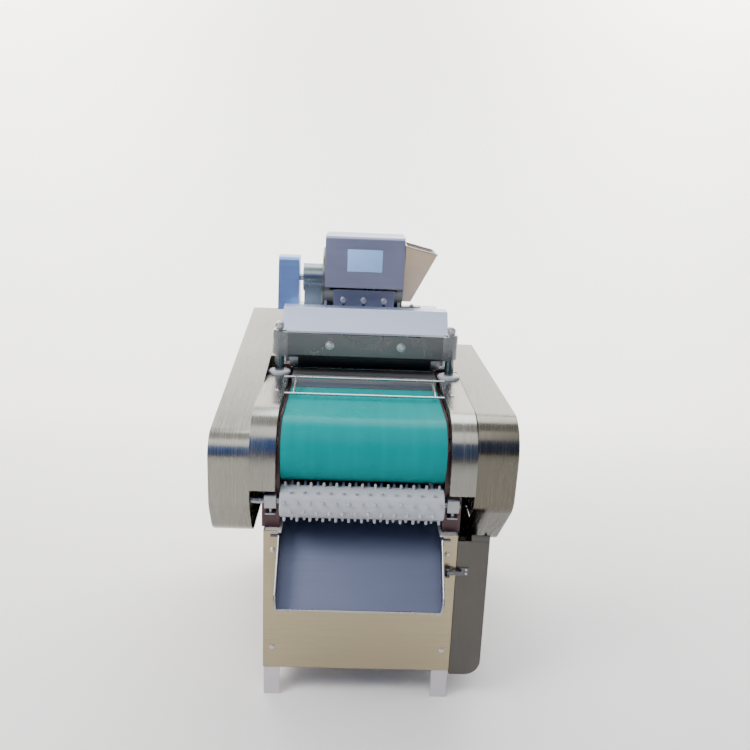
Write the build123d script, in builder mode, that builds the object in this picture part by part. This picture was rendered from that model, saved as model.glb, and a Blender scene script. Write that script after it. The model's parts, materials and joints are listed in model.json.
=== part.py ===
from build123d import *
from math import asin, atan2, cos, hypot, pi, sin
import os

os.makedirs("parts", exist_ok=True)

# Overall sizes and main planes, in mm. X is across, -Y is the discharge end, +Z is up
overall_length = 910
cover_depth = 94
chute_reach = 95
front_y = -overall_length / 2 + chute_reach
rear_y = overall_length / 2
sheet = 2
running = 0.05
gap = 0.4

# Levels of the food path, which the frames, guards, hood and knife follow
feed_top = 737
discharge_top = feed_top - 26
tail_rise = 4
guard_top = feed_top - 8
stroke = 44
knife_edge_z = feed_top + stroke + 1
beam_low = knife_edge_z + 6
sleeve_low = knife_edge_z + 2
post_top = beam_low + 60
hood_front_z = feed_top + 97
ridge_z = hood_front_z + 59
deck_z = ridge_z - 40

# Widths of the food path, which everything beside it follows
belt_half = 191
shell_half = belt_half - 1
web_inner = belt_half + 3
web_thick = 6
web_outer = web_inner + web_thick
guard_inner = web_outer + 1
cover_inner = guard_inner + 60
cover_outer = cover_inner + cover_depth

# Cabinet, as wide and high as the food path above it asks
chute_half = belt_half + 5
cabinet_half = chute_half + 34
cabinet_bottom = 78
cabinet_top = discharge_top - 266
cabinet_rear_y = rear_y - 55
leg_width = 40
leg_thick = 4
rail_height = 30

# Discharge chute: its bent floor rises into the cabinet between two side walls
lip_y = front_y - 69
lip_z = cabinet_top - 169
floor_run = 160
floor_rise = 160
wall_front_z = lip_z + 42
wall_top_z = cabinet_top - 10
hook_height = 4
hook_length = 17

# Side frames: a web beside the belts, a front flange turned outwards and a low flange under the hood
flange_far = web_inner + 42
flange_y = front_y + 22
web_top_front = discharge_top - 5
web_top_rear = feed_top + 2
web_step_y = 42

# Covers, guards and hood
cover_thick = 2
left_nose_r = 60
right_nose_r = 85
guard_bottom = guard_top - 176
guard_rear = 78
guard_lip = 19
left_cover_low = cabinet_top - 32
left_cover_front_top = guard_top - 36
left_cover_rise = 136
right_cover_low = cabinet_top - 94
right_cover_top = guard_top + 1
hood_half = web_inner + 36
hood_front_y = 80

# Belts: the discharge belt in front of the knife and the feed belt behind it
belt_thick = 3
shaft_r = 10
drum_r = 75
drum_y = front_y + 66
drum_z = discharge_top - belt_thick - drum_r
tail_r = 22
tail_y = -68
tail_z = discharge_top + tail_rise - belt_thick - tail_r
feed_r = 27
feed_front_y = 78
feed_rear_y = rear_y - 34
feed_z = feed_top - belt_thick - feed_r

# Studded roller
stud_y = front_y + 10
stud_z = drum_z - 115
stud_core_r = 37.5
stud_tip_r = 47.5
stud_half = belt_half
stud_shaft_r = 8
peg_r = 4.2
peg_pitch = 30
peg_columns = 1 + int((2 * stud_half - 3 * peg_r) / peg_pitch)
peg_rows = 10

# Knife carriage
post_x = (guard_inner + cover_inner) / 2
post_y = 20
post_r = 12.5
knife_thick = 6
knife_half = post_x - 24
bevel = 7
beam_front_y = -10
beam_thick = 22
sleeve_r = 19
crosshead_half = post_x + 15
crosshead_size = 30
crosshead_top = discharge_top - 163
ear_drop = 70
ear_thick = 16
bolt_half_spacing = 95
knife_bolt_z = beam_low + 30

# Crank drive under the knife
crank_r = stroke / 2
crank_z = 203
disc_r = 58
rod_thick = 16
rod_x = ear_thick / 2 + 1
disc_x = rod_x + rod_thick + 2
disc_thick = 16
wrist_z = crosshead_top - crosshead_size - ear_drop
crank_pin_r = 9
crankshaft_r = 12
right_chain_x = cover_outer - 59
stud_chain_x = -(cover_outer - 53)
feed_chain_x = stud_chain_x + 18
pulley_x = right_chain_x - 32
pulley_width = 22
crank_pulley_r = 85
motor_pulley_r = 30
motor_y = cabinet_rear_y - 170
motor_z = 178
motor_r = 70
motor_shaft_r = 11
chain_thick = 3.5
chain_width = 6
sprocket_r = 34
feed_sprocket_r = 30
drum_sprocket_r = 42
stud_sprocket_r = 14

# Press roller on two swinging arms
press_y = 62
press_r = 30
press_z = feed_top + press_r + 2
press_half = belt_half - 9
press_end_r = 29
arm_x = web_outer + 6
arm_thick = 10
arm_r = 16
arm_pivot_y = 160
arm_pivot_z = press_z + 20
pivot_r = 8

# Slicing head on the deck
head_x = -6
head_y = rear_y - 105
head_z = deck_z + 94
casing_r = 88
casing_thick = 4
casing_left = head_x - 124
casing_right = head_x + 116
box_half = 116
box_front_y = head_y - 110
box_low = head_z - 13
box_top = deck_z + 232
slicer_shaft_r = 11
slicer_pulley_x = -(web_outer + 15)
slicer_pulley_r = 28
slicer_motor_z = deck_z - 293
slicer_motor_r = 56
housing_r = 42

leg_outer = cabinet_half - sheet
leg_front = front_y + sheet
leg_rear = cabinet_rear_y - sheet
floor_end_y = lip_y + floor_run
floor_end_z = lip_z + floor_rise
floor_at_front = lip_z + (front_y - lip_y) * floor_rise / floor_run
hook_z = wall_top_z - hook_height / 2


def save(piece, name):
    """Label one finished piece and write it."""
    piece.label = name
    export_step(piece, f"parts/{name}.step")


def block(low, high, mode=Mode.ADD):
    """Add a box to the piece being built, or cut it, from one corner to the opposite one."""
    with Locations(tuple((a + b) / 2 for a, b in zip(low, high))):
        Box(*(abs(b - a) for a, b in zip(low, high)), mode=mode)


def bar(x0, x1, y, z, radius, mode=Mode.ADD):
    """Add a round bar along X to the piece being built, or cut it."""
    with Locations(Location(((x0 + x1) / 2, y, z), (0, 90, 0))):
        Cylinder(radius, abs(x1 - x0), mode=mode)


def bolt_front(x, y, z, size, washer):
    """Add one hexagon bolt head and its washer on a face that looks towards -Y."""
    with Locations(Location((x, y - 1, z), (90, 0, 0))):
        Cylinder(washer, 2)
    with BuildSketch(Plane.XZ.offset(2 - y)) as head:
        with Locations((x, z)):
            RegularPolygon(size, 6)
    extrude(head.sketch, amount=size * 0.7)


def grooved_pulley(x, width, y, z, radius, bore):
    """A V-belt pulley on an X axle: a turned rim with one groove, returned as its own piece."""
    depth = 8
    with BuildPart() as pulley:
        with BuildSketch(Plane(origin=(x, y, z), x_dir=(1, 0, 0), z_dir=(0, -1, 0))):
            with BuildLine():
                Polyline((-width / 2, bore), (width / 2, bore), (width / 2, radius), (depth / 2 + 2, radius),
                         (depth / 2 - 1, radius - depth), (1 - depth / 2, radius - depth),
                         (-depth / 2 - 2, radius), (-width / 2, radius), (-width / 2, bore))
            make_face()
        revolve(axis=Axis((x, y, z), (1, 0, 0)))
    return pulley.part


def loop(wheel_a, wheel_b, thick, x, width):
    """A belt or chain round two wheels, each given as (y, z, radius), returned as its own piece."""
    (ya, za, ra), (yb, zb, rb) = wheel_a, wheel_b
    distance = hypot(yb - ya, zb - za)
    lean = atan2(zb - za, yb - ya)
    with BuildPart() as band:
        for extra, mode in ((thick, Mode.ADD), (0, Mode.SUBTRACT)):
            a, b = ra + extra, rb + extra
            swing = asin((a - b) / distance)
            up, down = lean + pi / 2 - swing, lean - pi / 2 + swing
            a_up = (ya + a * cos(up), za + a * sin(up))
            b_up = (yb + b * cos(up), zb + b * sin(up))
            a_down = (ya + a * cos(down), za + a * sin(down))
            b_down = (yb + b * cos(down), zb + b * sin(down))
            with BuildSketch(Plane.YZ.offset(x - width / 2)):
                with BuildLine():
                    Line(a_up, b_up)
                    ThreePointArc(b_up, (yb + b * cos(lean), zb + b * sin(lean)), b_down)
                    Line(b_down, a_down)
                    ThreePointArc(a_down, (ya - a * cos(lean), za - a * sin(lean)), a_up)
                make_face()
            extrude(amount=width, mode=mode)
    return band.part


# Base frame: four angle legs that reach the floor, tied by rails above the floor plate and at the top
with BuildPart() as base_frame:
    for side in (-1, 1):
        for end, end_y in ((1, leg_front), (-1, leg_rear)):
            block((side * leg_outer, end_y, 0),
                  (side * (leg_outer - leg_width), end_y + end * leg_thick, cabinet_top - sheet))
            block((side * leg_outer, end_y, 0),
                  (side * (leg_outer - leg_thick), end_y + end * leg_width, cabinet_top - sheet))
        for level in (cabinet_bottom + sheet, cabinet_top - sheet - rail_height):
            block((side * leg_outer, leg_front, level),
                  (side * (leg_outer - leg_thick), leg_rear, level + rail_height))
    for level in (cabinet_bottom + sheet, cabinet_top - sheet - rail_height):
        block((-leg_outer, leg_rear - leg_thick, level), (leg_outer, leg_rear, level + rail_height))
    block((-leg_outer, leg_front, cabinet_bottom + sheet),
          (leg_outer, leg_front + leg_thick, cabinet_bottom + sheet + rail_height))
    for side in (-1, 1):
        block((side * leg_outer, leg_front, cabinet_top - sheet - leg_thick),
              (side * (leg_outer - leg_width), leg_rear, cabinet_top - sheet))
        block((side * (chute_half + gap), leg_front - 1, floor_at_front - rail_height),
              (side * (leg_outer - leg_width - 1), leg_front + leg_width, cabinet_top - sheet - leg_thick),
              Mode.SUBTRACT)
save(base_frame.part, "base_frame")

# Chute: a bent tray whose floor rises into the cabinet, hung by two tabs in slots of the front plate
with BuildPart() as chute:
    with BuildSketch(Plane.YZ.offset(-chute_half)):
        with BuildLine():
            Polyline((front_y, wall_top_z), (front_y - chute_reach, wall_front_z + 12),
                     (front_y - chute_reach, wall_front_z), (lip_y, lip_z), (floor_end_y, floor_end_z),
                     (floor_end_y - 20, wall_top_z), close=True)
        make_face()
    extrude(amount=2 * chute_half)
    rise = 1.5 * sheet
    beyond = 80
    with BuildSketch(Plane.YZ.offset(sheet - chute_half)):
        with BuildLine():
            Polyline((lip_y - beyond, lip_z + rise - beyond),
                     (floor_end_y + beyond, floor_end_z + rise + beyond),
                     (floor_end_y + beyond, floor_end_z + 2 * beyond), (lip_y - beyond, floor_end_z + 2 * beyond),
                     close=True)
        make_face()
    extrude(amount=2 * (chute_half - sheet), mode=Mode.SUBTRACT)
    for side in (-1, 1):
        block((side * (chute_half - sheet), front_y - 2 * sheet, hook_z - hook_height / 2),
              (side * (chute_half + hook_length), front_y + sheet, hook_z + hook_height / 2))
save(chute.part, "discharge_chute")

# Cabinet panels
with BuildPart() as front_plate:
    block((-cabinet_half, front_y, cabinet_bottom), (cabinet_half, front_y + sheet, cabinet_top))
    block((-chute_half - gap, front_y - 1, floor_at_front - sheet),
          (chute_half + gap, front_y + sheet + 1, cabinet_top + 1), Mode.SUBTRACT)
    for side in (-1, 1):
        block((side * chute_half, front_y - 1, hook_z - hook_height / 2 - gap),
              (side * (chute_half + hook_length + gap), front_y + sheet + 1, hook_z + hook_height / 2 + gap),
              Mode.SUBTRACT)
save(front_plate.part, "cabinet_front_plate")

# Left wall and back wall are one bent sheet; the back wall reaches past the cabinet to close the drive space
door_outer = cover_outer - 48
door_top_front = cabinet_top - 14
door_top_rear = right_cover_low - 2
door_thick = 2
with BuildPart() as wrap:
    block((-cabinet_half, front_y + sheet, cabinet_bottom), (-leg_outer, cabinet_rear_y, cabinet_top))
    with BuildSketch(Plane.XZ.offset(-leg_rear)):
        with BuildLine():
            Polyline((-leg_outer, cabinet_bottom), (door_outer - 2 * door_thick, cabinet_bottom),
                     (door_outer - 2 * door_thick, door_top_rear), (cabinet_half, door_top_rear),
                     (cabinet_half, cabinet_top - sheet), (-leg_outer, cabinet_top - sheet), close=True)
        make_face()
    extrude(amount=-sheet)
save(wrap.part, "cabinet_wrap")

with BuildPart() as right_wall:
    block((leg_outer, front_y + sheet, cabinet_bottom), (cabinet_half, leg_rear, cabinet_top))
    for hole_y, hole_z in ((post_y, crank_z), (motor_y, motor_z)):
        bar(leg_outer - 1, cabinet_half + 1, hole_y, hole_z, crankshaft_r + 10, Mode.SUBTRACT)
save(right_wall.part, "cabinet_right_wall")

with BuildPart() as floor_plate:
    block((-leg_outer, leg_front, cabinet_bottom), (leg_outer, leg_rear, cabinet_bottom + sheet))
    for side in (-1, 1):
        for corner_y in (leg_front, leg_rear):
            block((side * (leg_outer + 1), corner_y - leg_width, cabinet_bottom - 1),
                  (side * (leg_outer - leg_width), corner_y + leg_width, cabinet_bottom + sheet + 1), Mode.SUBTRACT)
save(floor_plate.part, "cabinet_floor_plate")

# Side door: front return, side skin and underside folded from one sheet, hung at its rear edge
door_inner = cabinet_half + 1
door_bottom = 68
door_corner_r = 38
door_step_y = front_y + 50
pin_x = door_outer + 4
pin_y = cabinet_rear_y + 6
pin_r = 3
knuckle_r = 6
knuckle_length = 20
hinge_levels = (door_bottom + 62, door_top_rear - 59)
with BuildPart() as side_door:
    block((door_inner, front_y, door_bottom), (door_outer, leg_rear - gap, door_top_front))
    corner = side_door.edges().filter_by(Axis.Y).group_by(Axis.X)[-1].sort_by(Axis.Z)[0]
    fillet(corner, door_corner_r)
    with BuildSketch(Plane.XZ.offset(-front_y - door_thick)):
        with BuildLine():
            FilletPolyline((door_inner - 1, door_bottom + door_thick),
                           (door_outer - door_thick, door_bottom + door_thick),
                           (door_outer - door_thick, door_top_front + 1), radius=door_corner_r - door_thick)
            Polyline((door_outer - door_thick, door_top_front + 1), (door_inner - 1, door_top_front + 1),
                     (door_inner - 1, door_bottom + door_thick))
        make_face()
    extrude(amount=-(cabinet_rear_y - front_y), mode=Mode.SUBTRACT)
    with BuildSketch(Plane.YZ.offset(door_inner - 1)):
        with BuildLine():
            Polyline((door_step_y, door_top_front + 1),
                     (door_step_y + door_top_front + 1 - door_top_rear, door_top_rear),
                     (cabinet_rear_y + 1, door_top_rear), (cabinet_rear_y + 1, door_top_front + 1), close=True)
        make_face()
    extrude(amount=door_outer, mode=Mode.SUBTRACT)
    for level in hinge_levels:
        block((door_outer, pin_y - 26, level), (door_outer + 2, pin_y, level + knuckle_length))
        with Locations((pin_x, pin_y, level + knuckle_length / 2)):
            Cylinder(knuckle_r, knuckle_length)
            Cylinder(pin_r + running, knuckle_length, mode=Mode.SUBTRACT)
save(side_door.part, "side_door")

with BuildPart() as door_hinges:
    for level in hinge_levels:
        block((pin_x - 30, cabinet_rear_y, level - gap - knuckle_length), (pin_x, cabinet_rear_y + 2, level - gap))
        with Locations((pin_x, pin_y, level - gap - knuckle_length / 2)):
            Cylinder(knuckle_r, knuckle_length)
        with Locations((pin_x, pin_y, level + 1)):
            Cylinder(pin_r, 2 * knuckle_length + 2)
save(door_hinges.part, "door_hinges")

# Draw latch across the seam: a base on the front plate, a lever that swings out, a keeper on the door
latch_x = cabinet_half - 20
latch_z = cabinet_top - 93
latch_y = front_y - 8
lever_length = 34
lever_half = 5
with BuildPart() as latch_base:
    block((latch_x - 9, front_y - 2, latch_z - 12), (latch_x + 12, front_y, latch_z + 12))
    for low in (latch_z - 12, latch_z + 8):
        block((latch_x - 5, latch_y - 5, low), (latch_x + 5, front_y - 2, low + 4))
    with Locations((latch_x, latch_y, latch_z)):
        Cylinder(2, 24)
save(latch_base.part, "latch_base")

with BuildPart() as latch_lever:
    with Locations((latch_x, latch_y, latch_z)):
        Cylinder(4, 2 * lever_half)
    block((latch_x, latch_y - 4, latch_z - lever_half),
          (latch_x + lever_length, latch_y - 1.5, latch_z + lever_half))
    with Locations((latch_x, latch_y, latch_z)):
        Cylinder(2 + running, 2 * lever_half, mode=Mode.SUBTRACT)
    fillet(latch_lever.edges().filter_by(Axis.Y).group_by(Axis.X)[-1], lever_half - 1)
save(latch_lever.part, "latch_lever")

with BuildPart() as latch_keeper:
    block((door_inner + 8, front_y - 2, latch_z - 10), (door_inner + 30, front_y, latch_z + 10))
    block((door_inner + 9, front_y - 8, latch_z - 6), (door_inner + 12, front_y - 2, latch_z + 6))
save(latch_keeper.part, "latch_keeper")

# Side frames
bearing_holes = ((drum_y, drum_z), (tail_y, tail_z), (feed_front_y, feed_z), (feed_rear_y, feed_z))
slicer_slot_y = (head_y - slicer_pulley_r - 12, head_y + slicer_pulley_r + 12)


def side_frame(side):
    """One dark frame plate: its web, front flange, hood flange, crosshead window and shaft holes."""
    with BuildPart() as frame:
        with BuildSketch(Plane.YZ.offset(min(side * web_inner, side * web_outer))):
            with BuildLine():
                Polyline((flange_y, cabinet_top - sheet), (rear_y, cabinet_top - sheet), (rear_y, web_top_rear),
                         (web_step_y, web_top_rear), (web_step_y, web_top_front), (flange_y + 60, web_top_front),
                         (flange_y, web_top_front - 60), close=True)
            make_face()
            with Locations(*bearing_holes):
                Circle(shaft_r + 2, mode=Mode.SUBTRACT)
            with Locations((head_y, slicer_motor_z)):
                Circle(slicer_shaft_r + 3, mode=Mode.SUBTRACT)
            with Locations((post_y, crosshead_top - crosshead_size / 2 - stroke / 2)):
                Rectangle(crosshead_size + 12, crosshead_size + stroke + 14, mode=Mode.SUBTRACT)
        extrude(amount=web_thick)
        block((side * web_inner, flange_y, cabinet_top),
              (side * flange_far, flange_y + web_thick, web_top_front - 60))
        block((side * web_inner, hood_front_y, web_top_rear - web_thick), (side * hood_half, rear_y, web_top_rear))
        if side < 0:
            block((-web_outer - 1, slicer_slot_y[0], web_top_rear - web_thick - 1),
                  (-hood_half + 3, slicer_slot_y[1], web_top_rear + 1), Mode.SUBTRACT)
    return frame.part


save(side_frame(-1), "side_frame_left")
save(side_frame(1), "side_frame_right")


def guard(side):
    """One rounded fender beside the discharge belt, folded from sheet and open behind and below."""
    front = front_y - 20
    straight_top = guard_top - 119
    with BuildPart() as shell:
        for inset, mode in ((0, Mode.ADD), (sheet, Mode.SUBTRACT)):
            low, high = guard_inner + inset, cover_inner - inset
            top, nose = guard_top - inset, front + inset
            with BuildSketch(Plane.YZ.offset(min(side * low, side * high))) as fender:
                with BuildLine():
                    Polyline((nose, straight_top), (nose, guard_bottom - 4 * inset),
                             (guard_rear + 4 * inset, guard_bottom - 4 * inset),
                             (guard_rear + 4 * inset, top), (front_y + 96, top))
                    Spline((front_y + 96, top), (front_y + 10 + inset * 0.7, guard_top - 32 - inset * 0.7),
                           (nose, straight_top), tangents=((-1, 0), (0, -1)))
                make_face()
            extrude(amount=high - low, mode=mode)
        with BuildSketch(Plane.YZ.offset(min(side * guard_inner, side * cover_inner) - 1)):
            with BuildLine():
                Polyline((front + guard_lip, guard_bottom - 1), (front + guard_lip, straight_top + 30),
                         (front_y + 60, guard_top - guard_lip - 12), (front_y + 110, guard_top - guard_lip),
                         (web_step_y - 2, guard_top - guard_lip), (web_step_y - 2, guard_top - sheet),
                         (guard_rear + 1, guard_top - sheet), (guard_rear + 1, guard_bottom - 1), close=True)
            make_face()
        extrude(amount=cover_inner - guard_inner + 2, mode=Mode.SUBTRACT)
        with Locations((side * post_x, post_y, guard_top)):
            Cylinder(post_r + 4, 10, mode=Mode.SUBTRACT)
    return shell.part


save(guard(-1), "inner_guard_left")
save(guard(1), "inner_guard_right")


def drive_cover(side, low, top_rear, nose, chin, belly, nose_r):
    """One pan-shaped outer cover, its edge skin and outer wall, with an inward strip behind the hood front."""
    back = rear_y - 6
    with BuildSketch(Plane.YZ) as outline:
        with BuildLine():
            FilletPolyline((back, low), *belly, chin, nose, (back, top_rear), radius=nose_r)
            Line((back, top_rear), (back, low))
        make_face()
    with BuildSketch(Plane.YZ) as inner:
        add(outline.sketch_local)
        offset(amount=-cover_thick)
    with BuildSketch(Plane.YZ) as rear_outline:
        add(outline.sketch_local)
        with Locations(((hood_front_y + 2 + rear_y) / 2, (low + ridge_z) / 2)):
            Rectangle(rear_y - hood_front_y - 2, ridge_z - low + 40, mode=Mode.INTERSECT)
    cut_depth = cover_outer - cover_thick - hood_half + 5
    with BuildPart() as cover:
        with BuildSketch(Plane.YZ.offset(min(side * cover_inner, side * cover_outer))):
            add(outline.sketch_local)
        extrude(amount=cover_outer - cover_inner)
        with BuildSketch(Plane.YZ.offset(min(side * hood_half, side * cover_inner))):
            add(rear_outline.sketch_local)
        extrude(amount=cover_inner - hood_half)
        with BuildSketch(Plane.YZ.offset(min(side * (hood_half - 5), side * (cover_outer - cover_thick)))):
            add(inner.sketch_local)
        extrude(amount=cut_depth, mode=Mode.SUBTRACT)
        if side > 0:
            block((hood_half - 1, belly[0][0] + 30, low - 5), (door_outer + 8, post_y, low + 10), Mode.SUBTRACT)
    return cover.part


save(drive_cover(-1, left_cover_low, left_cover_front_top + left_cover_rise,
                 (front_y - 20, left_cover_front_top - 17), (front_y - 14, left_cover_low + 99),
                 ((front_y + 67, left_cover_low), (front_y + 29, left_cover_low + 25)), left_nose_r),
     "left_drive_cover")
save(drive_cover(1, right_cover_low, right_cover_top, (front_y - 24, right_cover_top),
                 (front_y - 8, right_cover_low + 170), ((front_y + 172, right_cover_low),), right_nose_r),
     "right_drive_cover")

# Hood: a hump over the knife space and a level deck behind it, with the drop opening of the slicing head
drop_half = 88
drop_front_y = box_front_y + 2
drop_rear_y = drop_front_y + 26
with BuildPart() as hood:
    for inset, mode in ((0, Mode.ADD), (sheet, Mode.SUBTRACT)):
        half = hood_half - inset
        below = web_top_rear - 5 * inset
        mouth_y = hood_front_y - 3.2 * inset
        with BuildSketch(Plane.YZ.offset(-half)):
            with BuildLine():
                Polyline((mouth_y, below), (mouth_y, hood_front_z - 5.6 * inset),
                         (hood_front_y + 46 + inset * 0.5, ridge_z - inset), (hood_front_y + 92, ridge_z - inset),
                         (hood_front_y + 114, deck_z - inset), (rear_y + 5 * inset, deck_z - inset),
                         (rear_y + 5 * inset, below), close=True)
            make_face()
        extrude(amount=2 * half, mode=mode)
    block((head_x - drop_half, drop_front_y, deck_z - 5), (head_x + drop_half, drop_rear_y, deck_z + 5),
          Mode.SUBTRACT)
    block((slicer_pulley_x - 11, slicer_slot_y[0], deck_z - 5), (slicer_pulley_x + 11, slicer_slot_y[1], deck_z + 5),
          Mode.SUBTRACT)
    for side in (-1, 1):
        bar(side * (arm_x - 2), side * (hood_half - sheet / 2), arm_pivot_y, arm_pivot_z, pivot_r)
save(hood.part, "hood")

# Discharge belt, its front drum and tail roller
save(loop((drum_y, drum_z, drum_r), (tail_y, tail_z, tail_r), belt_thick, 0, 2 * belt_half), "discharge_belt")


def belt_roller(y, z, radius, left_end, right_end, sprockets=()):
    """One belt roller on its shaft, less the running gap to the belt, with its sprockets as (x, radius)."""
    with BuildPart() as roller:
        bar(-shell_half, shell_half, y, z, radius - gap)
        chamfer(roller.edges().filter_by(GeomType.CIRCLE), 1.5)
        bar(left_end, right_end, y, z, shaft_r)
        for x, wheel_r in sprockets:
            bar(x - chain_width / 2, x + chain_width / 2, y, z, wheel_r)
    return roller.part


short_end = web_outer + 22
save(belt_roller(drum_y, drum_z, drum_r, stud_chain_x - 8, right_chain_x + 5,
                 ((stud_chain_x, drum_sprocket_r), (feed_chain_x, feed_sprocket_r), (right_chain_x, sprocket_r))),
     "discharge_drum")
save(belt_roller(tail_y, tail_z, tail_r, -short_end, short_end), "discharge_tail_roller")
save(belt_roller(feed_front_y, feed_z, feed_r, feed_chain_x - 8, short_end, ((feed_chain_x, feed_sprocket_r),)),
     "feed_front_roller")
save(belt_roller(feed_rear_y, feed_z, feed_r, -short_end, short_end), "feed_rear_roller")
save(loop((feed_front_y, feed_z, feed_r), (feed_rear_y, feed_z, feed_r), belt_thick, 0, 2 * belt_half),
     "feed_belt")

# Bed plate between the two belts on its box beam, and the cutting board let into it under the knife
bed_front_y = -26
bed_rear_y = 54
bed_thick = 8
board_edge = 2
board_depth = 5
beam_margin = 8
bed_beam_rear_y = post_y + 8
bed_beam_low = web_top_front - 30
with BuildPart() as bed_plate:
    with BuildSketch(Plane.YZ.offset(-belt_half - 2)):
        with BuildLine():
            Polyline((bed_rear_y, feed_top), (bed_front_y, feed_top), (tail_y + tail_r + 8, discharge_top - 3),
                     (tail_y + tail_r + 11, discharge_top - 6), (bed_front_y + 4, feed_top - bed_thick),
                     (bed_rear_y, feed_top - bed_thick), close=True)
        make_face()
    extrude(amount=2 * (belt_half + 2))
    block((-belt_half - 3, bed_front_y + board_edge, feed_top - board_depth),
          (belt_half + 3, bed_rear_y - board_edge, feed_top + 1), Mode.SUBTRACT)
    block((-web_inner, bed_front_y + beam_margin, bed_beam_low),
          (web_inner, bed_beam_rear_y, feed_top - bed_thick))
    block((-web_inner - 1, bed_front_y + beam_margin + 4, bed_beam_low + 4),
          (web_inner + 1, bed_beam_rear_y - 4, feed_top - bed_thick), Mode.SUBTRACT)
save(bed_plate.part, "bed_plate")

with BuildPart() as anvil_strip:
    block((-belt_half - 2, bed_front_y + board_edge, feed_top - board_depth),
          (belt_half + 2, bed_rear_y - board_edge, feed_top + gap))
save(anvil_strip.part, "anvil_strip")

# Wire finger guard over the discharge belt, low at the front and higher towards the knife
wire_r = 3
wire_front = (-160, guard_top - 5)
wire_middle = (-100, guard_top + 2.5)
wire_rear = (-60, guard_top + 11)
wire_side_x = belt_half - 13
with BuildPart() as finger_guard:
    bar(-guard_inner, guard_inner, wire_front[0], wire_front[1], wire_r)
    bar(-wire_side_x, wire_side_x, wire_middle[0], wire_middle[1], wire_r)
    bar(-guard_inner - 9, guard_inner + 9, wire_rear[0], wire_rear[1], wire_r)
    for side in (-1, 1):
        for start, end in ((wire_front, wire_middle), (wire_middle, wire_rear)):
            run = Vector(0, end[0] - start[0], end[1] - start[1])
            with BuildSketch(Plane(origin=(side * wire_side_x, *start), z_dir=run)):
                Circle(wire_r)
            extrude(amount=run.length)
        with Locations((side * (guard_inner + 9), wire_rear[0], (guard_top + wire_rear[1]) / 2)):
            Cylinder(wire_r, wire_rear[1] - guard_top)
save(finger_guard.part, "finger_guard")

# Ring seals on the guards and the guide blocks that the posts run in
ring_r = 30
ring_height = 9
with BuildPart() as post_seals:
    for side in (-1, 1):
        with Locations((side * post_x, post_y, guard_top + ring_height / 2)):
            Cylinder(ring_r, ring_height)
    chamfer(post_seals.edges().filter_by(GeomType.CIRCLE).group_by(Axis.Z)[-1], 3)
    for side in (-1, 1):
        with Locations((side * post_x, post_y, guard_top + ring_height / 2)):
            Cylinder(post_r + gap, ring_height, mode=Mode.SUBTRACT)
save(post_seals.part, "post_seals")

guide_levels = (crosshead_top + 14, crosshead_top + 124)
guide_height = 32
with BuildPart() as post_guides:
    for side in (-1, 1):
        for level in guide_levels:
            block((side * web_outer, post_y - 20, level), (side * (post_x + 20), post_y + 20, level + guide_height))
            with Locations((side * post_x, post_y, level + guide_height / 2)):
                Cylinder(post_r + running, guide_height, mode=Mode.SUBTRACT)
save(post_guides.part, "post_guides")

# Knife carriage
with BuildPart() as posts:
    for side in (-1, 1):
        with Locations((side * post_x, post_y, (post_top + crosshead_top) / 2)):
            Cylinder(post_r, post_top - crosshead_top)
save(posts.part, "knife_posts")

with BuildPart() as sleeves:
    for side in (-1, 1):
        with Locations((side * post_x, post_y, (sleeve_low + post_top) / 2)):
            Cylinder(sleeve_r, post_top - sleeve_low)
        block((side * knife_half, beam_front_y - 2, sleeve_low), (side * post_x, post_y - 4, post_top))
        with Locations((side * post_x, post_y, (sleeve_low + post_top) / 2)):
            Cylinder(post_r, post_top - sleeve_low, mode=Mode.SUBTRACT)
save(sleeves.part, "clamp_sleeves")

with BuildPart() as beam:
    block((-knife_half, beam_front_y, beam_low), (knife_half, beam_front_y + beam_thick, post_top))
    chamfer(beam.edges().filter_by(Axis.X).group_by(Axis.Z)[0].sort_by(Axis.Y)[-1], 6)
save(beam.part, "knife_beam")

with BuildPart() as knife:
    with BuildSketch(Plane.YZ.offset(-knife_half)):
        with BuildLine():
            Polyline((beam_front_y, knife_edge_z), (beam_front_y, post_top - 2),
                     (beam_front_y - knife_thick, post_top - 2), (beam_front_y - knife_thick, knife_edge_z + bevel),
                     (beam_front_y - 0.6, knife_edge_z), close=True)
        make_face()
    extrude(amount=2 * knife_half)
save(knife.part, "knife")

cap_r = 17
with BuildPart() as carriage_bolts:
    for side in (-1, 1):
        bolt_front(side * bolt_half_spacing, beam_front_y - knife_thick, knife_bolt_z, 8, 12)
        with Locations((side * post_x, post_y, post_top + 1.5)):
            Cylinder(cap_r, 3)
        with BuildSketch(Plane.XY.offset(post_top + 3)) as cap_head:
            with Locations((side * post_x, post_y)):
                RegularPolygon(10.5, 6)
        extrude(cap_head.sketch, amount=10)
        with Locations((side * post_x, post_y, post_top + 15)):
            Cylinder(7, 6)
save(carriage_bolts.part, "carriage_bolts")

# Crosshead below, with a hanging ear and a short wrist pin beside the connecting rod
with BuildPart() as crosshead:
    block((-crosshead_half, post_y - crosshead_size / 2, crosshead_top - crosshead_size),
          (crosshead_half, post_y + crosshead_size / 2, crosshead_top))
    chamfer(crosshead.edges().filter_by(Axis.Z), 3)
    with BuildSketch(Plane.YZ.offset(-ear_thick / 2)) as ear:
        with BuildLine():
            Polyline((post_y - 26, crosshead_top - crosshead_size), (post_y + 26, crosshead_top - crosshead_size),
                     (post_y + 15, wrist_z), (post_y - 15, wrist_z), close=True)
        make_face()
        with Locations((post_y, wrist_z)):
            Circle(15)
    extrude(ear.sketch, amount=ear_thick)
save(crosshead.part, "crosshead")

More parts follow.
